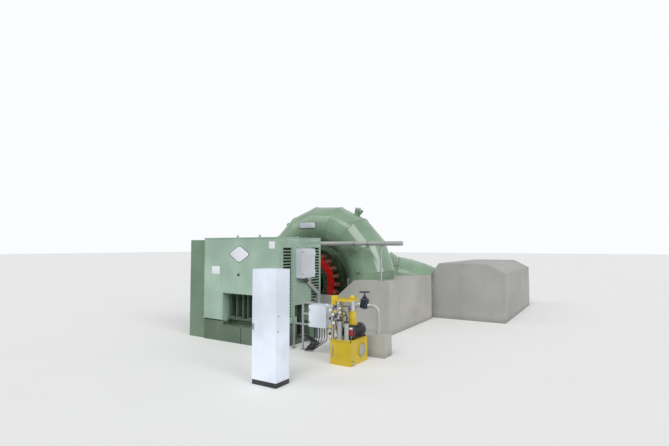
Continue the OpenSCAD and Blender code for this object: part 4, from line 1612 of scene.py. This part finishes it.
# Floor strap and sill clamp of the terminal cables, as lowest and highest corners.
CABLE_STRAPS = (
    ((1.74, -3.57, 0.022), (2.04, -3.53, 0.028)),
    ((1.735, -3.57, 0.0), (1.765, -3.53, 0.027)),
    ((2.015, -3.57, 0.0), (2.045, -3.53, 0.027)),
    ((1.3, -3.175, 0.121), (1.33, -2.985, 0.158)),
    ((1.3, -3.175, 0.18), (1.33, -2.985, 0.186)),
)


def swing_handle(shape, at, length):
    """A swing handle with its lock, on a plate."""
    shape.use("box grey").prism(rounded_rectangle(0.013, length / 2, 0.009), 0.006, at, 0.0015)
    grip = at @ place(0, 0.006, 0.005)
    shape.use("motor black").prism(rounded_rectangle(0.008, length / 2 - 0.022, 0.006), 0.012, grip, 0.003)
    lock = at @ place(0, 0.018 - length / 2, 0.007)
    barrel = [(0, 0), (0.008, 0), (0.008, 0.004), (0.0065, 0.005), (0, 0.0035)]
    shape.use("bright steel").turned(barrel, lock, 20)


def gland(shape, spot, radius):
    """A cable gland with its nut, on the underside of a box."""
    wide = radius * 1.05
    shape.turned([(0, 0), (radius, 0), (wide, 0.003), (wide, 0.02), (radius * 0.8, 0.032),
                  (radius * 0.5, 0.034), (0, 0.034)], facing(spot, -Z), 24)


class HYDRO_OT_cabinets(bpy.types.Operator):
    """Adds the handles, locks, glands, cables and feet of the cabinets and boxes"""

    bl_idname = "hydro.cabinets"
    bl_label = "Cabinets and boxes"
    bl_options = {"REGISTER", "UNDO"}

    def execute(self, context):
        self.control_cabinet()
        self.junction_door()
        self.junction_box()
        self.terminal_door()
        self.terminal_box()
        self.terminal_feet()
        self.duct()
        return {"FINISHED"}

    @staticmethod
    def control_cabinet():
        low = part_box("control_cabinet_door")[0]
        door = Shape("box grey")
        swing_handle(door, front(low.x + 0.04, low.y, 1.12), HANDLE_LENGTH)
        door.done("cabinet_handle", "cabinet_door")
        body_low, body_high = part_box("control_cabinet")
        left, right, back, top = body_low.x, body_low.x + CABINET_WIDTH, body_high.y, body_high.z
        trim = Shape("motor black", "cabinet white")
        trim.use("motor black").box((left - 0.001, low.y + 0.022, 0.001),
                                    (right + 0.001, back + 0.001, 0.098), 0.003)
        trim.use("cabinet white").box((left - 0.004, low.y + 0.026, top - 0.002),
                                      (right + 0.004, back + 0.004, top + 0.006), 0.004)
        trim.use("motor black")
        for z in LOCK_HEIGHTS:
            trim.turned([(0, -0.002), (0.013, -0.002), (0.013, 0.004), (0.011, 0.007), (0, 0.006)],
                        facing((right + 0.0005, body_low.y + 0.075, z), X), 24)
        trim.done("cabinet_plinth")

    @staticmethod
    def junction_door():
        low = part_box("junction_box_door")[0]
        door = Shape("motor black")
        for z in (2.53, 1.93):
            door.turned([(0, -0.002), (0.017, -0.002), (0.017, 0.006), (0.015, 0.009), (0.006, 0.009),
                         (0.006, 0.006), (0, 0.006)], facing((low.x + 0.022, low.y + 0.035, z), X), 28)
        door.done("junction_locks", "junction_door")

    @staticmethod
    def junction_box():
        """Glands with their cables to the duct, and the brackets that hold the box to the louvre frame."""
        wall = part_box("junction_box")[0].x
        fittings = Shape("motor black", "hose", "zinc", "plate white")
        for k in range(JUNCTION_GLANDS):
            spot = Vector((wall + 0.09, JUNCTION_FIRST_Y + k * JUNCTION_PITCH, 1.782))
            gland(fittings.use("plate white" if k == JUNCTION_GLANDS - 1 else "motor black"), spot, 0.026)
            start = spot - Z * 0.03
            join = Vector((1.378, -3.045 - k * 0.004, 1.705 - k * 0.012))
            path = [start, start - Z * 0.035, Vector((spot.x - 0.02, join.y - 0.16, join.z - 0.002)), join,
                    join + Vector((0, 0.1, -0.07))]
            fittings.use("hose").sweep(rounded_path(path, 0.045, 5), 0.0095, 12)
        fittings.use("zinc")
        spots = []
        for y in (-3.5, -3.0):
            fittings.box((wall - 0.001, y - 0.03, 2.631), (wall + 0.012, y + 0.03, 2.685), 0.002)
            fittings.box((wall - 0.001, y - 0.03, 2.629), (wall + 0.06, y + 0.03, 2.637), 0.002)
            spots.append((Vector((wall + 0.012, y, 2.665)), X))
        fittings.done("junction_fittings")
        bolts("junction_bolts", spots, 0.015, seed=16)

    @staticmethod
    def terminal_door():
        low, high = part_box("terminal_box_door")
        door = Shape("motor black")
        for z in (low.z + 0.12, high.z - 0.12):
            door.turned([(0, -0.002), (0.014, -0.002), (0.014, 0.005), (0.012, 0.008), (0, 0.008)],
                        front(low.x + 0.03, low.y, z), 24)
        door.done("terminal_locks", "terminal_door")

    @staticmethod
    def terminal_box():
        """Glands, and cables under a floor strap and a sill clamp to the tray in the side opening."""
        low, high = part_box("terminal_box")
        fittings = Shape("motor black", "hose", "plate white", "zinc")
        for k in range(TERMINAL_GLANDS):
            spot = Vector((low.x + 0.07 + k * TERMINAL_PITCH, TERMINAL_GLAND_Y, low.z))
            gland(fittings.use("motor black"), spot, 0.019)
            lane = -3.145 + 0.026 * k
            path = [spot - Z * 0.03, (spot.x, spot.y, 0.36), (1.98 + 0.03 * k, -4.03 + 0.03 * k, 0.011),
                    (1.62 + 0.03 * k, lane, 0.011), (1.37, lane, 0.168), (1.2, lane, 0.171)]
            fittings.use("hose").sweep(rounded_path(path, 0.12, 6), 0.011, 12)
        fittings.use("zinc")
        for corners in CABLE_STRAPS:
            fittings.box(*corners, 0.002)
        fittings.use("plate white")
        knob = [(0, -0.001), (0.02, -0.001), (0.02, 0.01), (0.017, 0.026), (0.01, 0.035), (0, 0.038)]
        fittings.turned(knob, place(high.x - 0.1, -4.02, high.z), 24)
        fittings.done("terminal_fittings")

    @staticmethod
    def terminal_feet():
        """Foot plates and bolts of the terminal box's frame."""
        low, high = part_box("terminal_frame")
        y = (low.y + high.y) / 2
        feet = Shape("zinc")
        spots = []
        for x in (low.x + 0.02, 1.82, high.x - 0.02):
            feet.box((x - 0.05, y - 0.07, 0.0), (x + 0.05, y + 0.07, 0.008), 0.002)
            spots += [(Vector((x, y + side * 0.05, 0.008)), Z) for side in (-1, 1)]
        feet.done("frame_feet")
        bolts("frame_bolts", spots, 0.017, seed=18)

    @staticmethod
    def duct():
        """Lid clips and wall brackets of the cable duct."""
        low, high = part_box("cable_duct")
        clips = Shape("zinc")
        for z in (0.35, 0.8, 1.22):
            clips.box((high.x - 0.045, -2.586, z - 0.018), (high.x + 0.004, -2.474, z + 0.018), 0.002)
        for z in (0.4, 1.1):
            clips.box((low.x - 0.001, -2.64, z), (low.x + 0.006, -2.42, z + 0.06), 0.002)
        clips.done("duct_clips")
        spots = [(Vector((low.x + 0.006, y, z)), X) for y in (-2.62, -2.44) for z in (0.43, 1.13)]
        bolts("duct_bolts", spots, 0.015, seed=17)


# Governor oil unit

MOTOR_RADIUS = 0.14
MOTOR_HEIGHT = 0.16
FIN_COUNT = 40
TANK_WIDTH = 0.54
TANK_LID = 0.56
HATCH = Vector((0, -4.172, 0.29))
FILTERS = ((3.377, -4.57, 0.066, 0.0), (3.566, -4.585, 0.052, 0.03))
# The bright block on the stand: from and to along X and along Y, and the heights of its three outlets.
BLOCK_X = (3.25, 3.38)
BLOCK_Y = (-4.6, -4.47)
BLOCK_MIDDLE = ((BLOCK_X[0] + BLOCK_X[1]) / 2, (BLOCK_Y[0] + BLOCK_Y[1]) / 2)
OUTLETS = (0.085, 0.2, 0.315)
HOSE_ENDS = ((3.445, -4.42), (3.235, -4.44), (3.215, -4.3))


class HYDRO_OT_oil_unit(bpy.types.Operator):
    """Dresses the governor oil unit: motor, bell, filters, valve block, gauges and hoses"""

    bl_idname = "hydro.oil_unit"
    bl_label = "Oil unit"
    bl_options = {"REGISTER", "UNDO"}

    def execute(self, context):
        self.motor()
        self.tank()
        self.column()
        self.filters()
        self.block()
        return {"FINISHED"}

    @staticmethod
    def motor():
        """Fins, end shields, fan grille and terminal box of the pump motor."""
        low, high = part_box("pump_motor")
        x, z = high.x - MOTOR_RADIUS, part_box("oil_tank")[1].z + MOTOR_HEIGHT
        middle = Vector((x, (low.y + high.y) / 2 + 0.02, z))
        ways = [radial(360 * (k + 0.5) / FIN_COUNT) for k in range(FIN_COUNT)]
        ways = [way for way in ways if -0.86 < way.z <= 0.86]
        values = {"Fin Depth": 0.024, "Fin Thickness": 0.005, "Fin Length": 0.36, "Material": "motor black"}
        grow("motor_fins", "fins", values, [middle + way * 0.148 for way in ways], ways)
        ends = Shape("motor black", "label red", "bright steel", "plate white")
        drive_end, fan_end = front(x, low.y, z), facing((x, high.y, z), Y)
        ends.turned([(0, -0.002), (0.15, -0.002), (0.154, 0.002), (0.154, 0.02), (0.146, 0.026),
                     (0.07, 0.034), (0.05, 0.05), (0, 0.052)], drive_end, 48)
        ends.turned([(0, -0.1), (0.15, -0.1), (0.153, -0.096), (0.153, 0.02), (0.14, 0.04),
                     (0.06, 0.044), (0, 0.044)], fan_end, 48)
        for k in range(5):
            ends.hoop(0.03 + 0.022 * k, 0.003, 0.043, 0.049, fan_end, 40)
        plate = front(x + 0.09, low.y - 0.058, z + 0.004)
        ends.use("label red").prism(rounded_rectangle(0.06, 0.066, 0.006), 0.006, plate, 0.001)
        ends.use("plate white").prism(rounded_rectangle(0.046, 0.022, 0.004), 0.003,
                                      plate @ place(0.006, 0.098, 0), 0.0008)
        ends.use("motor black").box((x + 0.01, low.y - 0.058, z - 0.11),
                                    (x + 0.165, low.y - 0.004, z + 0.134), 0.004)
        ends.use("bright steel").turned([(0, 0), (0.02, 0), (0.02, 0.01), (0.012, 0.014), (0, 0.014)],
                                        plate @ place(0.02, -0.094, 0), 20)
        ends.done("motor_ends")
        bolts("motor_bolts", bolt_circle(raised(drive_end, 0.024), 0.128, 8, 0.4), 0.019, seed=19)

    @staticmethod
    def tank():
        """Rim, feet, hatch, level glass, filler cap and drain of the oil tank."""
        low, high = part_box("oil_tank")
        right = low.x + TANK_WIDTH
        hatch = facing(HATCH + X * high.x, X)
        bolts("tank_cover_bolts", bolt_circle(hatch, 0.15, 14), 0.017)
        rim = Shape("tank yellow", "level glass", "bright steel", "motor black", "pipe grey")
        rim.use("pipe grey").turned([(0, -0.001), (0.136, -0.001), (0.136, 0.006), (0.128, 0.01),
                                     (0.06, 0.016), (0, 0.018)], hatch, 48)
        rim.use("tank yellow")
        x0, x1, y0, y1 = low.x - 0.014, right + 0.014, low.y - 0.014, high.y + 0.014
        for xa, xb, ya, yb in ((x0, x1, y0, y0 + 0.02), (x0, x1, y1 - 0.02, y1),
                               (x0, x0 + 0.02, y0, y1), (x1 - 0.02, x1, y0, y1)):
            rim.box((xa, ya, high.z - 0.022), (xb, yb, high.z + 0.006), 0.002)
        for x in (low.x + 0.04, right - 0.04):
            for y in (low.y + 0.04, high.y - 0.04):
                rim.box((x - 0.035, y - 0.035, 0.0), (x + 0.035, y + 0.035, 0.012), 0.002)
        rim.use("bright steel").box((3.235, low.y - 0.012, 0.16), (3.27, low.y, 0.44), 0.003)
        rim.use("level glass").box((3.243, low.y - 0.016, 0.18), (3.262, low.y - 0.004, 0.42), 0.003)
        rim.use("motor black").turned([(0, 0), (0.04, 0), (0.04, 0.03), (0.035, 0.036), (0, 0.04)],
                                      place(3.665, -3.93, high.z), 32)
        drain = [(0, 0), (0.022, 0), (0.022, 0.012), (0.014, 0.014), (0.014, 0.04), (0.019, 0.042),
                 (0.019, 0.06), (0, 0.06)]
        rim.use("bright steel").turned(drain, facing((right, -4.6, 0.07), X), 6)
        rim.use("motor black").box((right + 0.022, -4.606, 0.07), (right + 0.032, -4.594, 0.13), 0.002)
        rim.done("tank_fittings")
        rear = (high.y - 0.05, high.y - 0.2)
        spots = [(Vector((x, y, high.z)), Z) for x in (low.x + 0.09, right - 0.05) for y in rear]
        bolts("tank_lid_bolts", spots, 0.017, seed=20)

    @staticmethod
    def column():
        """Ribs, bands and bolts of the yellow bell, and the cap, plate edge and bracket above it."""
        low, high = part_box("accumulator")
        x, y = (low.x + high.x) / 2, (low.y + high.y) / 2
        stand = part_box("hydraulic_stand")[1].z
        foot = place(x, y, low.z)
        bell = Shape("tank yellow", "bright steel", "chrome")
        rib = [(0.086, 0.002), (0.11, 0.002), (0.11, 0.02), (0.09, 0.118), (0.086, 0.118)]
        for k in range(6):
            bell.gusset(rib, foot, pi / 3 * k + 0.3)
        bell.turned([(0, -0.001), (0.116, -0.001), (0.116, 0.01), (0, 0.01)], foot, 40)
        bell.turned([(0.054, 0), (0.08, 0), (0.08, 0.018), (0.054, 0.02)], place(x, y, high.z), 40, ring=True)
        cap = [(0, 0), (0.07, 0), (0.072, 0.004), (0.068, 0.045), (0.05, 0.072), (0.022, 0.084), (0, 0.086)]
        bell.turned(cap, place(x, y, stand), 40)
        bell.box((3.196, -4.652, stand - 0.12), (3.3, -4.5, stand + 0.085), 0.008)
        bell.box((3.196, -4.66, stand - 0.03), (3.672, -4.646, stand + 0.012), 0.003)
        bell.use("chrome")
        for k in range(3):
            bell.turned([(0.0545, 0), (0.059, 0.002), (0.059, 0.012), (0.0545, 0.014)],
                        place(x, y, high.z + 0.05 + 0.075 * k), 40, ring=True)
        bell.turned([(0, 0), (0.03, 0), (0.03, 0.012), (0.025, 0.016), (0.025, 0.175), (0.031, 0.18),
                     (0.031, 0.205), (0.012, 0.215), (0, 0.215)], place(x - 0.092, y, high.z - 0.02), 32)
        bell.use("tank yellow").box((x - 0.122, y - 0.028, high.z - 0.05),
                                    (x - 0.06, y + 0.028, high.z - 0.021), 0.003)
        bell.use("bright steel").turned([(0, 0), (0.014, 0), (0.014, 0.012), (0.01, 0.016), (0, 0.017)],
                                        place(x, y, stand + 0.084), 6)
        bell.done("bell_fittings")
        spots = bolt_circle(raised(foot, 0.15), 0.091, 8, 0.2)
        spots += bolt_circle(raised(foot, 0.01), 0.102, 6, 0.82)
        spots += [(Vector((u, v, stand)), Z) for u in (3.36, 3.46, 3.62) for v in (-4.6, -4.22)]
        bolts("bell_bolts", spots, 0.017, seed=22)

    @staticmethod
    def filters():
        """Heads, bands and feet of the two filters."""
        low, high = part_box("oil_filters")
        parts = Shape("pipe grey", "motor black", "bright steel")
        for x, y, r, lower in FILTERS:
            head = [(0, -0.001), (r + 0.008, -0.001), (r + 0.01, 0.003), (r + 0.01, 0.03), (r + 0.004, 0.04),
                    (0.022, 0.044), (0.018, 0.06), (0, 0.062)]
            parts.use("motor black").turned(head, place(x, y, high.z - lower), 40)
            foot = place(x, y, low.z)
            plinth = [(0, 0.001), (r + 0.02, 0.001), (r + 0.02, 0.012), (r + 0.002, 0.02), (0, 0.02)]
            parts.use("pipe grey").turned(plinth, foot, 40)
            parts.use("bright steel")
            for z in (0.13, 0.28):
                band = [(r, z), (r + 0.0025, z), (r + 0.0025, z + 0.014), (r, z + 0.014)]
                parts.turned(band, foot, 40, ring=True)
        parts.done("filter_fittings")

    def block(self):
        """What sits on the bright valve block, its hoses and the pipes and valves in front of it."""
        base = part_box("valve_manifold")[0].z
        parts = Shape("chrome", "motor black", "bright steel", "gauge face", "brass", "tank yellow", "hose")
        for k, outlet in enumerate(OUTLETS):
            self.solenoid(parts, base + outlet, "tank yellow" if k == 1 else "motor black")
        for z in (1.285, 1.185):
            x, y, run = 3.425, BLOCK_Y[0] - 0.03, BLOCK_Y[0] + 0.045
            self.gauge(parts, facing((x, y, z), (0.15, -1, 0)), 0.034)
            parts.use("brass").sweep([(x, y, z), (x, run, z), (BLOCK_X[1] - 0.002, run, z)], 0.007, 12)
        self.hoses(parts, *(base + outlet for outlet in OUTLETS))
        self.front_pipes(parts)
        self.front_valves(parts)
        for x, y, z in ((3.27, -4.69, 1.14), (3.285, -4.685, 0.95)):
            self.gauge(parts, facing((x, y, z), (0.35, -1, 0)), 0.036)
            run = [(x, y, z), (x - 0.006, y + 0.055, z), (x - 0.05, y + 0.055, z)]
            parts.use("brass").sweep(run, 0.007, 12)
        parts.done("block_fittings")

    @staticmethod
    def gauge(shape, at, radius):
        """A pressure gauge that faces local Z."""
        inner = radius * 0.86
        dial = radius * 0.855
        shape.use("bright steel").turned([(0, 0), (radius, 0), (radius, 0.024), (radius * 0.97, 0.027),
                                          (inner, 0.027), (inner, 0.019), (0, 0.019)], at, 32)
        shape.use("gauge face").turned([(0, 0.0185), (dial, 0.0185), (dial, 0.0205), (0, 0.0205)], at, 32)
        tip = radius * 0.7
        shape.use("motor black").prism([(-0.0012, -0.005), (0.0012, -0.005), (0.0006, tip), (-0.0006, tip)],
                                       0.0012, raised(at, 0.0207) @ Matrix.Rotation(0.9, 4, "Z"))

    @staticmethod
    def solenoid(parts, z, coil):
        """One solenoid valve on the block's front, with its plug on the right and its cap on the left."""
        x, y = BLOCK_MIDDLE
        body = front(x, BLOCK_Y[0], z)
        parts.use("chrome").box((-0.045, -0.04, -0.001), (0.045, 0.04, 0.045), 0.004, body)
        parts.use(coil).box((-0.028, -0.028, 0.046), (0.028, 0.028, 0.115), 0.006, body)
        parts.use("bright steel").turned([(0, 0.114), (0.012, 0.114), (0.012, 0.126), (0, 0.128)], body, 16)
        parts.turned([(0, -0.001), (0.026, -0.001), (0.026, 0.014), (0.017, 0.016), (0.017, 0.034),
                      (0.011, 0.036), (0.011, 0.046), (0, 0.046)], facing((BLOCK_X[1], y, z), X), 24)
        parts.use("brass").turned([(0, -0.001), (0.02, -0.001), (0.02, 0.01), (0.013, 0.012), (0.013, 0.024),
                                   (0, 0.024)], facing((BLOCK_X[0], y, z), -X), 6)

    @staticmethod
    def hoses(parts, first, second, third):
        """Five hoses from the outlets at three heights, and the unions where three of them meet the tank."""
        right, left = BLOCK_X[1] + 0.045, BLOCK_X[0] - 0.022
        parts.use("hose")
        for run in (
            ((right, -4.535, first), (3.47, -4.535, first), (3.566, -4.585, 1.16), (3.566, -4.585, 1.01)),
            ((right, -4.535, second), (3.5, -4.535, second), (3.5, -4.44, 1.05), (3.445, -4.42, 0.562)),
            ((left, -4.535, first), (3.225, -4.535, first), (3.225, -4.5, 0.9), (3.235, -4.44, 0.562)),
            ((left, -4.535, third), (3.205, -4.52, third), (3.205, -4.42, 1.0), (3.215, -4.3, 0.562)),
            ((right, -4.535, third), (3.46, -4.5, third), (3.49, -4.36, 1.3), (3.505, -4.32, 1.06)),
        ):
            parts.sweep(rounded_path(run, 0.05, 6), 0.011, 12)
        parts.use("bright steel")
        nut = [(0, 0), (0.02, 0), (0.02, 0.018), (0.013, 0.02), (0.013, 0.036), (0, 0.036)]
        for x, y in HOSE_ENDS:
            parts.turned(nut, place(x, y, TANK_LID), 6)

    @staticmethod
    def front_pipes(parts):
        """Three bright pipes that rise from the tank in front of the block."""
        for x, y in ((3.168, -4.692), (3.236, -4.668), (3.29, -4.64)):
            path = [(x, y, TANK_LID), (x, y, 1.33), (x + 0.02, y + 0.06, 1.33), (x + 0.02, y + 0.06, 1.415)]
            parts.sweep(rounded_path(path, 0.03, 5), 0.009, 12)

    @staticmethod
    def front_valves(parts):
        """Four small valves on the front pipes, every other one set to the right."""
        coils = ("motor black", "tank yellow", "motor black", "plate white")
        for k, (coil, z) in enumerate(zip(coils, (0.7, 0.86, 1.045, 1.235))):
            body = facing((3.196, -4.68, z), (0.2, -1, 0))
            aside = 0.012 * (k % 2)
            parts.use("chrome").box((-0.05, -0.034, -0.004), (0.056, 0.034, 0.03), 0.004, body)
            parts.use(coil).box((-0.02 + aside, -0.026, 0.031), (0.03 + aside, 0.026, 0.07), 0.004, body)
            parts.use("brass").turned([(0, 0.029), (0.01, 0.029), (0.01, 0.044), (0, 0.045)],
                                      body @ place(-0.036, 0, 0), 6)


# Stop valve

PIPE_RIGHT_X = 3.79
PIPE_LEFT_X = 3.09
PIPE_COLLAR_Z = 0.97


class HYDRO_OT_valve(bpy.types.Operator):
    """Dresses the stop valve: flanges, bonnet, unions, rings at the ledge and wheel nut"""

    bl_idname = "hydro.valve"
    bl_label = "Stop valve"
    bl_options = {"REGISTER", "UNDO"}

    def execute(self, context):
        low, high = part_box("stop_valve")
        x, y = (low.x + high.x) / 2, (low.y + high.y) / 2
        up = place(x, y, low.z)
        feet = [place(PIPE_RIGHT_X, y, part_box("valve_ledge")[1].z), place(PIPE_LEFT_X, y, 0)]
        valve = Shape("valve blue", "bright steel", "pipe grey")
        self.body(valve, up)
        for way in (-1, 1):
            self.union(valve, facing((x + way * 0.12, y, low.z + 0.06), X * way))
        self.pipe_rings(valve, feet, y)
        valve.done("valve_fittings")
        spots = bolt_circle(raised(up, 0.215), 0.094, 8, 0.2)
        for foot in feet:
            spots += bolt_circle(raised(foot, 0.012), 0.071, 4, 0.6)
        bolts("valve_bolts", spots, 0.017, seed=23)
        self.wheel_nut(place(x, y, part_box("handwheel")[1].z))
        return {"FINISHED"}

    @staticmethod
    def body(valve, up):
        """Bowl, two flange rims, bonnet ring and gland of the valve."""
        bowl = [(0, -0.034), (0.04, -0.034), (0.07, -0.02), (0.098, -0.001), (0.098, 0.002), (0, 0.002)]
        valve.turned(bowl, up, 48)
        for z in (0.0, 0.196):
            valve.turned([(0.1, z), (0.116, z), (0.118, z + 0.003), (0.118, z + 0.016), (0.116, z + 0.019),
                          (0.1, z + 0.019)], up, 48, ring=True)
        bonnet = [(0.058, 0.215), (0.078, 0.215), (0.078, 0.232), (0.064, 0.24), (0.058, 0.24)]
        valve.turned(bonnet, up, 40, ring=True)
        packing = [(0.015, 0.27), (0.04, 0.27), (0.042, 0.274), (0.03, 0.3), (0.024, 0.318), (0.015, 0.318)]
        valve.turned(packing, up, 32, ring=True)

    @staticmethod
    def union(valve, at):
        """The stepped union between the valve and one of its pipes."""
        valve.use("bright steel").turned([(0.055, -0.012), (0.072, -0.012), (0.076, -0.008), (0.076, 0.01),
                                          (0.062, 0.012), (0.062, 0.048), (0.068, 0.05), (0.068, 0.066),
                                          (0.048, 0.07)], at, 32, ring=True)

    @staticmethod
    def pipe_rings(valve, feet, y):
        """A flange where each pipe meets its floor, and a collar higher up."""
        valve.use("pipe grey")
        flange = [(0.047, 0), (0.085, 0), (0.085, 0.012), (0.058, 0.014), (0.052, 0.03), (0.047, 0.03)]
        for foot in feet:
            valve.turned(flange, foot, 40, ring=True)
        collar = [(0.047, 0.0), (0.052, 0.002), (0.053, 0.01), (0.052, 0.018), (0.047, 0.02)]
        for x in (PIPE_RIGHT_X, PIPE_LEFT_X):
            valve.turned(collar, place(x, y, PIPE_COLLAR_Z), 40, ring=True)

    @staticmethod
    def wheel_nut(at):
        nut = Shape("bright steel")
        nut.turned([(0, -0.001), (0.016, -0.001), (0.016, 0.012), (0.01, 0.016), (0, 0.017)], at, 6)
        nut.done("wheel_nut", "valve_wheel")


# Panel, registration and run

OPERATORS = (
    HYDRO_OT_stage, HYDRO_OT_finishes, HYDRO_OT_housing, HYDRO_OT_plates, HYDRO_OT_louvres, HYDRO_OT_casing,
    HYDRO_OT_draft, HYDRO_OT_cover, HYDRO_OT_gear, HYDRO_OT_pipe, HYDRO_OT_cabinets, HYDRO_OT_oil_unit,
    HYDRO_OT_valve,
)
GROUPS = (
    ("hydro_colours", HYDRO_PG_colours),
    ("hydro_hardware", HYDRO_PG_hardware),
    ("hydro_stage", HYDRO_PG_stage),
)


class HYDRO_PT_panel(bpy.types.Panel):
    """Lists the steps and the settings"""

    bl_idname = "HYDRO_PT_panel"
    bl_label = "Hydro Set"
    bl_space_type = "VIEW_3D"
    bl_region_type = "UI"
    bl_category = "Hydro Set"

    def draw(self, context):
        for operator in OPERATORS:
            self.layout.operator(operator.bl_idname)
        for name, group in GROUPS:
            column = self.layout.column(align=True)
            for setting in group.__annotations__:
                column.prop(getattr(context.scene, name), setting)


def register():
    for _, group in GROUPS:
        bpy.utils.register_class(group)
    for operator in OPERATORS:
        bpy.utils.register_class(operator)
    bpy.utils.register_class(HYDRO_PT_panel)
    for name, group in GROUPS:
        setattr(bpy.types.Scene, name, PointerProperty(type=group))


def unregister():
    for name, _ in GROUPS:
        delattr(bpy.types.Scene, name)
    bpy.utils.unregister_class(HYDRO_PT_panel)
    for operator in reversed(OPERATORS):
        bpy.utils.unregister_class(operator)
    for _, group in reversed(GROUPS):
        bpy.utils.unregister_class(group)


def main():
    register()
    for operator in OPERATORS:
        group, name = operator.bl_idname.split(".")
        getattr(getattr(bpy.ops, group), name)()


if __name__ == "__main__":
    main()
